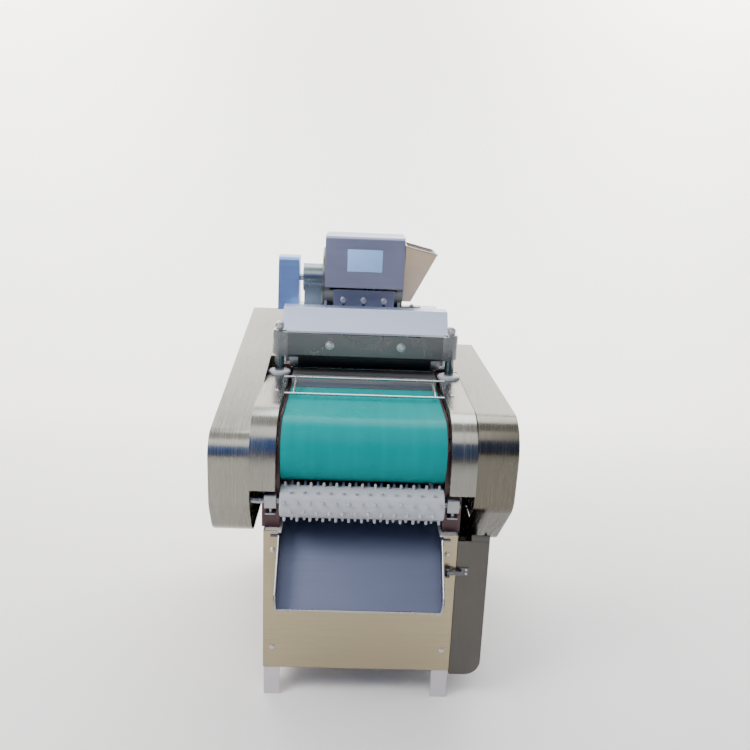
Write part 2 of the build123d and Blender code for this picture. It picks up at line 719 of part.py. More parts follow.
# Crankshaft with its disc, pin, belt pulley and chain sprocket, and the connecting rod
shaft_end = right_chain_x + 5
with BuildPart() as crankshaft:
    bar(disc_x, disc_x + disc_thick, post_y, crank_z, disc_r)
    chamfer(crankshaft.edges().filter_by(GeomType.CIRCLE), 2)
    bar(disc_x + disc_thick, shaft_end, post_y, crank_z, crankshaft_r)
    bar(rod_x, disc_x + 1, post_y, crank_z + crank_r, crank_pin_r)
    add(grooved_pulley(pulley_x, pulley_width, post_y, crank_z, crank_pulley_r, crankshaft_r))
    bar(right_chain_x - chain_width / 2, right_chain_x + chain_width / 2, post_y, crank_z, sprocket_r)
save(crankshaft.part, "crankshaft")

rod_end_r = 16
with BuildPart() as rod:
    with BuildSketch(Plane.YZ.offset(rod_x)):
        with BuildLine():
            Polyline((post_y - 8, crank_z + crank_r), (post_y - 8, wrist_z), (post_y + 8, wrist_z),
                     (post_y + 8, crank_z + crank_r), close=True)
        make_face()
        with Locations((post_y, crank_z + crank_r), (post_y, wrist_z)):
            Circle(rod_end_r)
        with Locations((post_y, crank_z + crank_r)):
            Circle(crank_pin_r + running, mode=Mode.SUBTRACT)
        with Locations((post_y, wrist_z)):
            Circle(crank_pin_r, mode=Mode.SUBTRACT)
    extrude(amount=rod_thick)
save(rod.part, "connecting_rod")

# Bearings: flange bearings outside the webs for the belt rollers, pillow blocks for the crankshaft
pedestal_xs = (84, cabinet_half - 25)
pedestal_top = crank_z - 24
pedestal_half = 12
bearing_r = 19
bearing_width = 14
with BuildPart() as shaft_bearings:
    for side in (-1, 1):
        for y, z in bearing_holes:
            bar(side * web_outer, side * (web_outer + bearing_width), y, z, bearing_r)
            bar(side * web_outer, side * (web_outer + bearing_width), y, z, shaft_r + running, Mode.SUBTRACT)
    for x in pedestal_xs:
        with BuildSketch(Plane.YZ.offset(x - pedestal_half)) as pillow:
            with BuildLine():
                Polyline((post_y - 40, pedestal_top), (post_y + 40, pedestal_top), (post_y + 40, pedestal_top + 10),
                         (post_y + 22, pedestal_top + 10), (post_y + 22, crank_z), (post_y - 22, crank_z),
                         (post_y - 22, pedestal_top + 10), (post_y - 40, pedestal_top + 10), close=True)
            make_face()
            with Locations((post_y, crank_z)):
                Circle(22)
                Circle(crankshaft_r + running, mode=Mode.SUBTRACT)
        extrude(pillow.sketch, amount=2 * pedestal_half)
save(shaft_bearings.part, "shaft_bearings")

# Chains: crankshaft to drum on the right, drum to feed roller and drum to studded roller on the left
with BuildPart() as chains:
    add(loop((post_y, crank_z, sprocket_r + gap), (drum_y, drum_z, sprocket_r + gap), chain_thick,
             right_chain_x, chain_width))
    add(loop((feed_front_y, feed_z, feed_sprocket_r + gap), (drum_y, drum_z, feed_sprocket_r + gap), chain_thick,
             feed_chain_x, chain_width))
    add(loop((drum_y, drum_z, drum_sprocket_r + gap), (stud_y, stud_z, stud_sprocket_r + gap), chain_thick,
             stud_chain_x, chain_width))
save(chains.part, "drive_chains")

# Studded roller: staggered rows of tapered pegs round a nylon core, and its steel shaft
with BuildPart() as studded_roller:
    bar(-stud_half, stud_half, stud_y, stud_z, stud_core_r)
    chamfer(studded_roller.edges().filter_by(GeomType.CIRCLE), 2)
    for row in range(peg_rows):
        count = peg_columns - row % 2
        turn = 360 * row / peg_rows
        facing = Location((0, stud_y, stud_z), (turn, 0, 0))
        with BuildSketch(Plane(facing * Location((0, 0, stud_core_r - 1)))) as peg_row:
            with GridLocations(peg_pitch, 1, count, 1):
                RegularPolygon(peg_r, 6)
        extrude(peg_row.sketch, amount=stud_tip_r - stud_core_r + 1, taper=6)
    bar(-stud_half, stud_half, stud_y, stud_z, stud_shaft_r, Mode.SUBTRACT)
save(studded_roller.part, "studded_roller")

with BuildPart() as stud_shaft:
    bar(stud_chain_x - 8, flange_far - 4, stud_y, stud_z, stud_shaft_r)
    bar(stud_chain_x - chain_width / 2, stud_chain_x + chain_width / 2, stud_y, stud_z, stud_sprocket_r)
save(stud_shaft.part, "stud_shaft")

block_low = web_inner + 6
block_high = block_low + 28
with BuildPart() as stud_bearings:
    for side in (-1, 1):
        block((side * block_low, flange_y - 24, stud_z - 18), (side * block_high, flange_y, stud_z + 19))
    fillet(stud_bearings.edges().filter_by(Axis.X).group_by(Axis.Y)[0], 6)
    bar(-block_high, block_high, stud_y, stud_z, stud_shaft_r + running, Mode.SUBTRACT)
    for side in (-1, 1):
        block((side * (block_low + 2), flange_y - 22, stud_z - 32), (side * (block_high - 2), flange_y, stud_z - 29))
        with Locations((side * (block_low + block_high) / 2, flange_y - 12, stud_z - 24)):
            Cylinder(4, 13)
save(stud_bearings.part, "stud_bearings")

# Press roller and the arms that let it rise over the food
with BuildPart() as press_roller:
    bar(-press_half, press_half, press_y, press_z, press_r)
    chamfer(press_roller.edges().filter_by(GeomType.CIRCLE), 1)
save(press_roller.part, "press_roller")

journal_r = 10
with BuildPart() as press_ends:
    for side in (-1, 1):
        bar(side * press_half, side * (arm_x - gap), press_y, press_z, press_end_r)
        bar(side * (arm_x - gap), side * (arm_x + arm_thick + 2), press_y, press_z, journal_r)
save(press_ends.part, "press_roller_ends")

with BuildPart() as press_arms:
    for side in (-1, 1):
        with BuildSketch(Plane.YZ.offset(min(side * arm_x, side * (arm_x + arm_thick)))) as arm:
            with BuildLine():
                Polyline((press_y, press_z + arm_r), (arm_pivot_y, arm_pivot_z + arm_r),
                         (arm_pivot_y, arm_pivot_z - arm_r), (press_y, press_z - arm_r), close=True)
            make_face()
            with Locations((press_y, press_z), (arm_pivot_y, arm_pivot_z)):
                Circle(arm_r)
            with Locations((press_y, press_z)):
                Circle(journal_r + running, mode=Mode.SUBTRACT)
            with Locations((arm_pivot_y, arm_pivot_z)):
                Circle(pivot_r + running, mode=Mode.SUBTRACT)
        extrude(arm.sketch, amount=arm_thick)
save(press_arms.part, "press_arms")

# Main motor and its pulley
motor_left = 10
motor_right = 190
with BuildPart() as main_motor:
    bar(motor_left, motor_right, motor_y, motor_z, motor_r)
    chamfer(main_motor.edges().filter_by(GeomType.CIRCLE), 6)
    block((motor_left + 70, motor_y - 30, motor_z + motor_r - 12),
          (motor_left + 130, motor_y + 30, motor_z + motor_r + 26))
    for x in (motor_left + 30, motor_right - 50):
        block((x, motor_y - 62, motor_z - motor_r - 6), (x + 26, motor_y + 62, motor_z - motor_r + 12))
    bar(motor_right - 40, motor_right + 1, motor_y, motor_z, motor_shaft_r + running, Mode.SUBTRACT)
save(main_motor.part, "main_motor")

with BuildPart() as motor_pulley:
    bar(motor_right - 38, pulley_x + pulley_width / 2 + 4, motor_y, motor_z, motor_shaft_r)
    add(grooved_pulley(pulley_x, pulley_width, motor_y, motor_z, motor_pulley_r, motor_shaft_r))
save(motor_pulley.part, "motor_pulley")

# Slicing head: cradle, drum casing, blade holder, discharge box, bearing housing, belt guard and hopper
foot_height = 6
with BuildPart() as head_base:
    for x in (casing_left + 6, casing_right - 14):
        block((x, head_y - 66, deck_z), (x + 8, head_y + 66, head_z - 40))
    for x0, x1 in ((casing_left - 50, casing_left + 14), (casing_right - 14, casing_right + 66)):
        block((x0, head_y - 66, deck_z), (x1, head_y - 40, deck_z + foot_height))
        block((x0, head_y + 40, deck_z), (x1, head_y + 66, deck_z + foot_height))
    bar(casing_left - 60, casing_right + 80, head_y, head_z, casing_r, Mode.SUBTRACT)
save(head_base.part, "head_base")

inlet_r = 46
window_low = head_z - 24
window_high = head_z + 40
with BuildPart() as casing:
    bar(casing_left, casing_right, head_y, head_z, casing_r)
    bar(casing_left, casing_left + casing_thick, head_y, head_z, casing_r + 5)
    bar(casing_left + casing_thick, casing_right - casing_thick, head_y, head_z, casing_r - casing_thick,
        Mode.SUBTRACT)
    bar(casing_right - casing_thick - 1, casing_right + 1, head_y, head_z, inlet_r, Mode.SUBTRACT)
    bar(casing_left - 1, casing_left + casing_thick + 1, head_y, head_z, slicer_shaft_r + 2, Mode.SUBTRACT)
    block((casing_left + 22, head_y - casing_r - 5, window_low), (casing_right - 18, head_y, window_high),
          Mode.SUBTRACT)
save(casing.part, "drum_casing")

holder_front_y = head_y - casing_r
holder_low = deck_z + 15
blade_thick = 4
with BuildPart() as blade_holder:
    block((head_x - 90, holder_front_y, holder_low), (head_x + 90, head_y - 40, window_low))
    bar(casing_left, casing_right, head_y, head_z, casing_r, Mode.SUBTRACT)
    block((head_x - 90, holder_front_y - blade_thick, holder_low + 2),
          (head_x + 90, holder_front_y, window_low + 3))
save(blade_holder.part, "blade_holder")

box_rear_y = head_y + 36
box_corner_r = 12
with BuildPart() as discharge_box:
    for inset, mode in ((0, Mode.ADD), (sheet, Mode.SUBTRACT)):
        with BuildSketch(Plane.YZ.offset(head_x - box_half + inset)) as box_side:
            with BuildLine():
                FilletPolyline((box_front_y + inset, box_low - 5 * inset),
                               (box_front_y + 10 + inset, box_top - inset),
                               (box_rear_y - inset, box_top - inset), (box_rear_y - inset, box_low - 5 * inset),
                               radius=box_corner_r - inset)
                Line((box_rear_y - inset, box_low - 5 * inset), (box_front_y + inset, box_low - 5 * inset))
            make_face()
        extrude(box_side.sketch, amount=2 * (box_half - inset), mode=mode)
    bar(head_x - box_half - 1, head_x + box_half + 1, head_y, head_z, casing_r, Mode.SUBTRACT)
save(discharge_box.part, "discharge_box")

housing_left = slicer_pulley_x + 25
pedestal_depth = 38
with BuildPart() as bearing_housing:
    bar(housing_left, casing_left, head_y, head_z, housing_r)
    block((housing_left + 4, head_y - pedestal_depth, deck_z),
          (casing_left - 4, head_y + pedestal_depth, head_z))
    bar(housing_left - 1, casing_left + 1, head_y, head_z, slicer_shaft_r + running, Mode.SUBTRACT)
save(bearing_housing.part, "bearing_housing")

belt_guard_left = slicer_pulley_x - 49
belt_guard_right = slicer_pulley_x + 13
belt_guard_top = deck_z + 158
belt_guard_corner_r = 14
with BuildPart() as belt_guard:
    for inset, mode in ((0, Mode.ADD), (sheet, Mode.SUBTRACT)):
        with BuildSketch(Plane.YZ.offset(belt_guard_left + inset)) as guard_side:
            with BuildLine():
                FilletPolyline((head_y - 50 + inset, deck_z - 3 * inset),
                               (head_y - 30 + inset, belt_guard_top - inset),
                               (head_y + 38 - inset, belt_guard_top - inset),
                               (head_y + 48 - inset, deck_z - 3 * inset),
                               radius=belt_guard_corner_r - inset)
                Line((head_y + 48 - inset, deck_z - 3 * inset), (head_y - 50 + inset, deck_z - 3 * inset))
            make_face()
        extrude(guard_side.sketch, amount=belt_guard_right - belt_guard_left - 2 * inset, mode=mode)
    bar(belt_guard_right - 4, belt_guard_right + 1, head_y, head_z, slicer_shaft_r + 2, Mode.SUBTRACT)
save(belt_guard.part, "slicer_belt_guard")

hopper_low = deck_z + 37
hopper_high = deck_z + 209
rim_middle = deck_z + 195
rim_slope = 0.24
with BuildPart() as hopper:
    for inset, mode in ((0, Mode.ADD), (sheet, Mode.SUBTRACT)):
        with BuildSketch(Plane.XY.offset(hopper_low + inset)):
            with Locations((casing_right + gap + 13, head_y)):
                Rectangle(26 - 2 * inset, 100 - 2 * inset)
        with BuildSketch(Plane.XY.offset(hopper_high)):
            with Locations((casing_right + 58, head_y)):
                Rectangle(107 - 2 * inset, 154 - 2 * inset)
        loft(mode=mode)
    rim = Plane(origin=(casing_right + 52, head_y, rim_middle), z_dir=(rim_slope, 0, 1))
    split(bisect_by=rim, keep=Keep.BOTTOM)
    bar(casing_right + gap, casing_right + 6, head_y, head_z, inlet_r + 4)
    bar(casing_right, casing_right + 14, head_y, head_z, inlet_r, Mode.SUBTRACT)
save(hopper.part, "hopper")

# Slicer rotor with three paddles, its shaft, pulley, belt and motor on a shelf between the side frames
with BuildPart() as slicer_rotor:
    bar(casing_left + 14, casing_right - 24, head_y, head_z, 22)
    for turn in (90, 210, 330):
        facing = Location((0, head_y, head_z), (turn, 0, 0))
        with BuildSketch(Plane(facing * Location((0, 0, 20)))) as paddle:
            with Locations(((casing_left + casing_right - 10) / 2, 0)):
                Rectangle(casing_right - casing_left - 42, 6)
        extrude(paddle.sketch, amount=58)
    bar(slicer_pulley_x - 12, casing_right - 24, head_y, head_z, slicer_shaft_r)
    add(grooved_pulley(slicer_pulley_x, 14, head_y, head_z, slicer_pulley_r, slicer_shaft_r))
save(slicer_rotor.part, "slicer_rotor")

slicer_motor_left = slicer_pulley_x + 35
shelf_thick = 6
with BuildPart() as slicer_motor:
    bar(slicer_motor_left, slicer_motor_left + 170, head_y, slicer_motor_z, slicer_motor_r)
    chamfer(slicer_motor.edges().filter_by(GeomType.CIRCLE), 6)
    for x in (slicer_motor_left + 26, slicer_motor_left + 120):
        block((x, head_y - 50, slicer_motor_z - slicer_motor_r - 6),
              (x + 24, head_y + 50, slicer_motor_z - slicer_motor_r + 10))
    bar(slicer_motor_left - 1, slicer_motor_left + 40, head_y, slicer_motor_z, slicer_shaft_r + running,
        Mode.SUBTRACT)
save(slicer_motor.part, "slicer_motor")

with BuildPart() as slicer_motor_pulley:
    bar(slicer_pulley_x - 9, slicer_motor_left + 38, head_y, slicer_motor_z, slicer_shaft_r)
    add(grooved_pulley(slicer_pulley_x, 14, head_y, slicer_motor_z, slicer_pulley_r, slicer_shaft_r))
save(slicer_motor_pulley.part, "slicer_motor_pulley")

with BuildPart() as drive_belts:
    add(loop((motor_y, motor_z, motor_pulley_r - 7), (post_y, crank_z, crank_pulley_r - 7), 7, pulley_x, 5))
    add(loop((head_y, slicer_motor_z, slicer_pulley_r - 7), (head_y, head_z, slicer_pulley_r - 7), 7,
             slicer_pulley_x, 5))
save(drive_belts.part, "drive_belts")

# Brackets: crankshaft pedestals and motor rails on the floor plate, and the slicer motor shelf
shelf_top = slicer_motor_z - slicer_motor_r - 6
shelf_half = 70
with BuildPart() as motor_mounts:
    for x in pedestal_xs:
        block((x - pedestal_half, post_y - 40, cabinet_bottom + sheet),
              (x + pedestal_half, post_y + 40, pedestal_top))
        block((x - pedestal_half - 1, post_y - 34, cabinet_bottom + sheet + 6),
              (x + pedestal_half - 3, post_y + 34, pedestal_top - 6), Mode.SUBTRACT)
    for x in (motor_left + 28, motor_right - 52):
        block((x, motor_y - 70, cabinet_bottom + sheet), (x + 30, motor_y + 70, motor_z - motor_r - 6))
    block((-web_inner, head_y - shelf_half, shelf_top - shelf_thick), (web_inner, head_y + shelf_half, shelf_top))
    for end_y in (head_y - shelf_half, head_y + shelf_half - shelf_thick):
        block((-web_inner, end_y, shelf_top - 24), (web_inner, end_y + shelf_thick, shelf_top - shelf_thick))
save(motor_mounts.part, "motor_mounts")

# Screws and bolts that show: blade plate, cabinet front plate and guard tops
with BuildPart() as cover_screws:
    for x in (-60, 0, 60):
        bolt_front(head_x + x, holder_front_y - blade_thick, holder_low + 25, 6.5, 9)
    for side in (-1, 1):
        for z in (cabinet_top - 49, cabinet_bottom + 57):
            with Locations(Location((side * (cabinet_half - 22), front_y - 1.5, z), (90, 0, 0))):
                Cylinder(6, 3)
        with Locations((side * (guard_inner + 20), front_y + 205, guard_top + 1.5)):
            Cylinder(5, 3)
save(cover_screws.part, "cover_screws")
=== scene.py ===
import json
from math import asin, atan2, cos, pi, radians, sin

import bmesh
import bpy
from mathutils import Matrix, Vector


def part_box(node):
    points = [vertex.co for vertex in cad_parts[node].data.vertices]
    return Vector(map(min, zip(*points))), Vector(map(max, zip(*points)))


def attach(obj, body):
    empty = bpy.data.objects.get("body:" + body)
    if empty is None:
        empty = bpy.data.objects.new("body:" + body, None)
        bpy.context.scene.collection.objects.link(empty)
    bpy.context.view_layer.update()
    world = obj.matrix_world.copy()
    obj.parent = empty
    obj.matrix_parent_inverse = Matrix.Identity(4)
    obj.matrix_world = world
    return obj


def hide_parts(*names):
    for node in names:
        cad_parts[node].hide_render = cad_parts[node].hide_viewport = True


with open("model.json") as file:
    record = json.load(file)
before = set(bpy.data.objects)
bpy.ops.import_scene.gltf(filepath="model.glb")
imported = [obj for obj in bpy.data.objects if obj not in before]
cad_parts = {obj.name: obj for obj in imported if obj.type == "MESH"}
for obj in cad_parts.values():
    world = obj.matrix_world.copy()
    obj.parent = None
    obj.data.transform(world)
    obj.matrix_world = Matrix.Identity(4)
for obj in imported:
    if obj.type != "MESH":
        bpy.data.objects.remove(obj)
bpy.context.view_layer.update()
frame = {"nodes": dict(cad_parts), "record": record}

bl_info = {
    "name": "Vegetable shredding machine",
    "version": (1, 0, 0),
    "blender": (4, 5, 0),
    "location": "View3D > Sidebar > Shredder",
    "description": "Dresses the belt-fed vegetable shredding machine with finishes and fittings",
    "category": "Object",
}

UP, RIGHT, FRONT = Vector((0, 0, 1)), Vector((1, 0, 0)), Vector((0, -1, 0))
SIDES = (-1, 1)


class ShredderFinish(bpy.types.PropertyGroup):
    """Colours of the machine's finishes."""
    steel: bpy.props.FloatVectorProperty(name="Sheet steel", description="Tint of the brushed sheet",
                                         subtype="COLOR", size=3, default=(0.235, 0.228, 0.200))
    # the cabinet tint holds a painted floor reflection: warm tan, on the same steel
    cabinet: bpy.props.FloatVectorProperty(name="Cabinet", description="Tint of the cabinet panels",
                                           subtype="COLOR", size=3, default=(0.36, 0.305, 0.20))
    # the box tint holds a painted sky reflection: bluish, on the same steel
    box: bpy.props.FloatVectorProperty(name="Slicing box", description="Tint of the discharge box on top",
                                       subtype="COLOR", size=3, default=(0.36, 0.365, 0.455))
    # the chute tint holds a painted sky reflection: bluish, on the same steel
    chute_reflection_tint: bpy.props.FloatVectorProperty(name="Chute tint, painted sky", description="Tint of the discharge chute",
                                              subtype="COLOR", size=3, default=(0.12, 0.135, 0.195))
    belt: bpy.props.FloatVectorProperty(name="Belt", description="Colour of the food belts", subtype="COLOR",
                                        size=3, default=(0.001, 0.225, 0.215))
    frame_paint: bpy.props.FloatVectorProperty(name="Frame paint", description="Paint of the side frames",
                                               subtype="COLOR", size=3, default=(0.060, 0.010, 0.013))
    motor_paint: bpy.props.FloatVectorProperty(name="Motor paint", description="Enamel of the two motors",
                                               subtype="COLOR", size=3, default=(0.05, 0.09, 0.13))


class ShredderSizes(bpy.types.PropertyGroup):
    """Sizes of the small fittings."""
    screw_radius: bpy.props.FloatProperty(name="Screw radius", description="Pan head of the panel screws",
                                          subtype="DISTANCE", default=0.006, min=0.002)
    chain_pitch: bpy.props.FloatProperty(name="Chain pitch", description="Distance between two chain rollers",
                                         subtype="DISTANCE", default=0.0127, min=0.006)
    hem: bpy.props.FloatProperty(name="Hem", description="Radius of the rolled edges of chute and hopper",
                                 subtype="DISTANCE", default=0.0025, min=0.001)
    lens: bpy.props.FloatProperty(name="Lens", description="Focal length of the camera on a 36 mm sensor",
                                  default=37.65, min=10)


# Shader groups

NOISE_SPAN = (0.3, 0.7)  # where most of a noise's values lie
SPOT_SPAN = (0.62, 0.74)  # only a noise's peaks, so that few small spots are left


def new_group(name, inputs, outputs):
    """An empty shader node group with named value or vector sockets."""
    group = bpy.data.node_groups.new(name, "ShaderNodeTree")
    for label, kind, default in inputs:
        group.interface.new_socket(label, in_out="INPUT", socket_type=kind).default_value = default
    for label, kind in outputs:
        group.interface.new_socket(label, in_out="OUTPUT", socket_type=kind)
    return group, group.nodes.new("NodeGroupInput"), group.nodes.new("NodeGroupOutput")


def add(tree, kind, **values):
    """Add a node, setting its properties, or its inputs where the key names a socket."""
    node = tree.nodes.new(kind)
    for key, value in values.items():
        if hasattr(node, key):
            setattr(node, key, value)
        else:
            node.inputs[key.replace("_", " ")].default_value = value
    return node


def maths(tree, operation, a, b):
    """A Math node with each side linked or given as a number."""
    node = add(tree, "ShaderNodeMath", operation=operation)
    for socket, value in zip(node.inputs, (a, b)):
        if isinstance(value, (int, float)):
            socket.default_value = value
        else:
            tree.links.new(value, socket)
    return node.outputs[0]


def ranged(tree, value, source, target):
    """A Map Range node that takes one span of numbers to another and holds its ends."""
    node = tree.nodes.new("ShaderNodeMapRange")
    for key, number in zip(("From Min", "From Max", "To Min", "To Max"), (*source, *target)):
        node.inputs[key].default_value = number
    tree.links.new(value, node.inputs["Value"])
    return node.outputs["Result"]


def blended(tree, factor, a, b, blend="MIX"):
    """Mix two colours; each is a socket or a tuple, and the factor a socket or a number."""
    node = add(tree, "ShaderNodeMix", data_type="RGBA", blend_type=blend)
    for index, value in ((0, factor), (6, a), (7, b)):
        if hasattr(value, "default_value"):
            tree.links.new(value, node.inputs[index])
        else:
            node.inputs[index].default_value = (*value, 1) if isinstance(value, tuple) else value
    return node.outputs[2]


def build_grain_group():
    """Brushed grain: long fine lines in a stretched noise, with its own stretch on walls that face sideways."""
    group, given, out = new_group(
        "Brushed grain", (("Stretch", "NodeSocketVector", (4.0, 900.0, 900.0)),
                          ("Wall stretch", "NodeSocketVector", (4.0, 4.0, 900.0))),
        (("Lines", "NodeSocketFloat"),))
    place = group.nodes.new("ShaderNodeTexCoord")
    facing = group.nodes.new("ShaderNodeSeparateXYZ")
    group.links.new(place.outputs["Normal"], facing.inputs[0])
    sideways = maths(group, "GREATER_THAN", maths(group, "ABSOLUTE", facing.outputs["X"], 0.0), 0.75)
    chosen = add(group, "ShaderNodeMix", data_type="VECTOR")
    group.links.new(sideways, chosen.inputs[0])
    group.links.new(given.outputs["Stretch"], chosen.inputs[4])
    group.links.new(given.outputs["Wall stretch"], chosen.inputs[5])
    scaled = add(group, "ShaderNodeVectorMath", operation="MULTIPLY")
    group.links.new(place.outputs["Object"], scaled.inputs[0])
    group.links.new(chosen.outputs[1], scaled.inputs[1])
    fine = add(group, "ShaderNodeTexNoise", Scale=1.0, Detail=3.0, Roughness=0.6)
    group.links.new(scaled.outputs[0], fine.inputs["Vector"])
    group.links.new(fine.outputs["Fac"], out.inputs["Lines"])


def build_smudge_group():
    """Handling marks: large soft clouds and a few small spots, as masks."""
    group, given, out = new_group("Handling marks", (("Size", "NodeSocketFloat", 5.0),),
                                  (("Clouds", "NodeSocketFloat"), ("Spots", "NodeSocketFloat")))
    place = group.nodes.new("ShaderNodeTexCoord")
    clouds = add(group, "ShaderNodeTexNoise", Detail=5.0, Roughness=0.55, Distortion=0.6)
    group.links.new(place.outputs["Object"], clouds.inputs["Vector"])
    group.links.new(given.outputs["Size"], clouds.inputs["Scale"])
    spots = add(group, "ShaderNodeTexNoise", Detail=2.0)
    group.links.new(place.outputs["Object"], spots.inputs["Vector"])
    group.links.new(maths(group, "MULTIPLY", given.outputs["Size"], 14.0), spots.inputs["Scale"])
    group.links.new(clouds.outputs["Fac"], out.inputs["Clouds"])
    group.links.new(ranged(group, spots.outputs["Fac"], SPOT_SPAN, (0.0, 1.0)), out.inputs["Spots"])


class Maker:
    """Starts a material: its shader, and helpers that place the shared groups in it."""

    def __init__(self, name):
        self.material = bpy.data.materials.new(name)
        self.material.use_nodes = True
        self.tree = self.material.node_tree
        self.tree.nodes.clear()
        self.shader = self.tree.nodes.new("ShaderNodeBsdfPrincipled")
        out = self.tree.nodes.new("ShaderNodeOutputMaterial")
        self.tree.links.new(self.shader.outputs["BSDF"], out.inputs["Surface"])

    def group(self, name, **values):
        """Place a shared group with its own values."""
        node = add(self.tree, "ShaderNodeGroup", node_tree=bpy.data.node_groups[name])
        for key, value in values.items():
            node.inputs[key].default_value = value
        return node

    def set(self, **values):
        """Set numbers on the shader's own sockets."""
        for key, value in values.items():
            self.shader.inputs[key.replace("_", " ")].default_value = value

    def link(self, output, name):
        """Feed one of the shader's sockets."""
        self.tree.links.new(output, self.shader.inputs[name])

    def ramp(self, value, low, high):
        """Spread a noise between two numbers."""
        return ranged(self.tree, value, NOISE_SPAN, (low, high))

    def relief(self, height, strength, distance, edge):
        """Bump from a height mask over edges softened by the bevel node."""
        soft = add(self.tree, "ShaderNodeBevel", samples=4, Radius=edge)
        bump = add(self.tree, "ShaderNodeBump", Strength=strength, Distance=distance)
        self.tree.links.new(height, bump.inputs["Height"])
        self.tree.links.new(soft.outputs["Normal"], bump.inputs["Normal"])
        self.link(bump.outputs["Normal"], "Normal")


ALONG = (700.0, 4.0, 4.0)  # grain that runs front to back
GLOSSY, SATIN = (0.18, 0.32), (0.3, 0.42)  # least and most roughness of a brushed sheet
CLOUD_TINTS = (0.94, 0.95, 0.98), (1.05, 1.03, 1.0)


def brushed_sheet(name, tint, stretch, roughness=SATIN, marks=5.0):
    """Brushed stainless sheet whose grain runs along the axes with the small stretch."""
    made = Maker(name)
    tree = made.tree
    lines = made.group("Brushed grain", Stretch=stretch).outputs["Lines"]
    mark = made.group("Handling marks", Size=marks).outputs
    shade = made.ramp(lines, low=0.94, high=1.04)
    tone = blended(tree, 1.0, tuple(tint), blended(tree, mark["Clouds"], *CLOUD_TINTS), "MULTIPLY")
    grey = tree.nodes.new("ShaderNodeCombineColor")
    for channel in grey.inputs:
        tree.links.new(shade, channel)
    made.link(blended(tree, 1.0, tone, grey.outputs[0], "MULTIPLY"), "Base Color")
    rough = maths(tree, "ADD", made.ramp(lines, *roughness), made.ramp(mark["Clouds"], low=-0.03, high=0.04))
    made.link(maths(tree, "ADD", rough, maths(tree, "MULTIPLY", mark["Spots"], 0.02)), "Roughness")
    made.set(Metallic=1.0)
    made.relief(lines, strength=0.025, distance=0.0002, edge=0.0012)
    return made.material


def turned_steel(name, tint, roughness, marks=9.0):
    """Turned or ground steel with faint tool lines and oil marks."""
    made = Maker(name)
    lines = made.group("Brushed grain", Stretch=(300.0, 300.0, 300.0)).outputs["Lines"]
    mark = made.group("Handling marks", Size=marks).outputs
    oily = tuple(c * 0.72 for c in tint)
    made.link(blended(made.tree, mark["Clouds"], oily, tuple(tint)), "Base Color")
    rough = made.ramp(mark["Clouds"], low=roughness - 0.07, high=roughness + 0.09)
    made.link(maths(made.tree, "ADD", rough, maths(made.tree, "MULTIPLY", mark["Spots"], 0.12)), "Roughness")
    made.set(Metallic=1.0)
    made.relief(lines, strength=0.08, distance=0.0002, edge=0.0007)
    return made.material


def painted(name, tint, roughness, coat=0.0, grain=60.0, depth=0.0004, edge=0.001, marks=6.0,
            dusty=(0.2, 0.18, 0.15)):
    """Paint, plastic or rubber: a coloured skin with fine grain and dull handled places."""
    made = Maker(name)
    tree = made.tree
    skin = add(tree, "ShaderNodeTexNoise", Detail=4.0, Roughness=0.6, Scale=grain)
    place = tree.nodes.new("ShaderNodeTexCoord")
    tree.links.new(place.outputs["Object"], skin.inputs["Vector"])
    mark = made.group("Handling marks", Size=marks).outputs
    dull = tuple(c * 0.62 for c in tint)
    tone = blended(tree, made.ramp(mark["Clouds"], low=0.0, high=0.35), tuple(tint), dull)
    made.link(blended(tree, maths(tree, "MULTIPLY", mark["Spots"], 0.10), tone, dusty), "Base Color")
    made.link(made.ramp(mark["Clouds"], low=roughness - 0.06, high=roughness + 0.1), "Roughness")
    made.set(Coat_Weight=coat, Coat_Roughness=0.08)
    made.relief(skin.outputs["Fac"], strength=0.25, distance=depth, edge=edge)
    return made.material


def belt_material(tint):
    """Smooth moulded food belt: a faint weave, rubbed streaks along its travel and a few pale spots."""
    made = Maker("Food belt")
    tree = made.tree
    streak = made.group("Brushed grain", Stretch=(40.0, 2.5, 2.5)).outputs["Lines"]
    weave = made.group("Brushed grain", Stretch=(900.0, 900.0, 900.0)).outputs["Lines"]
    mark = made.group("Handling marks", Size=4.0).outputs
    dim, light = tuple(c * 0.94 for c in tint), tuple(c * 1.07 for c in tint)
    pale = (0.1, 0.4, 0.36)
    tone = blended(tree, made.ramp(streak, low=0.0, high=1.0), dim, light)
    made.link(blended(tree, maths(tree, "MULTIPLY", mark["Spots"], 0.03), tone, pale), "Base Color")
    made.link(made.ramp(mark["Clouds"], low=0.24, high=0.36), "Roughness")
    made.set(IOR=1.22, Specular_IOR_Level=0.2)
    made.relief(weave, strength=0.05, distance=0.0001, edge=0.0008)
    return made.material


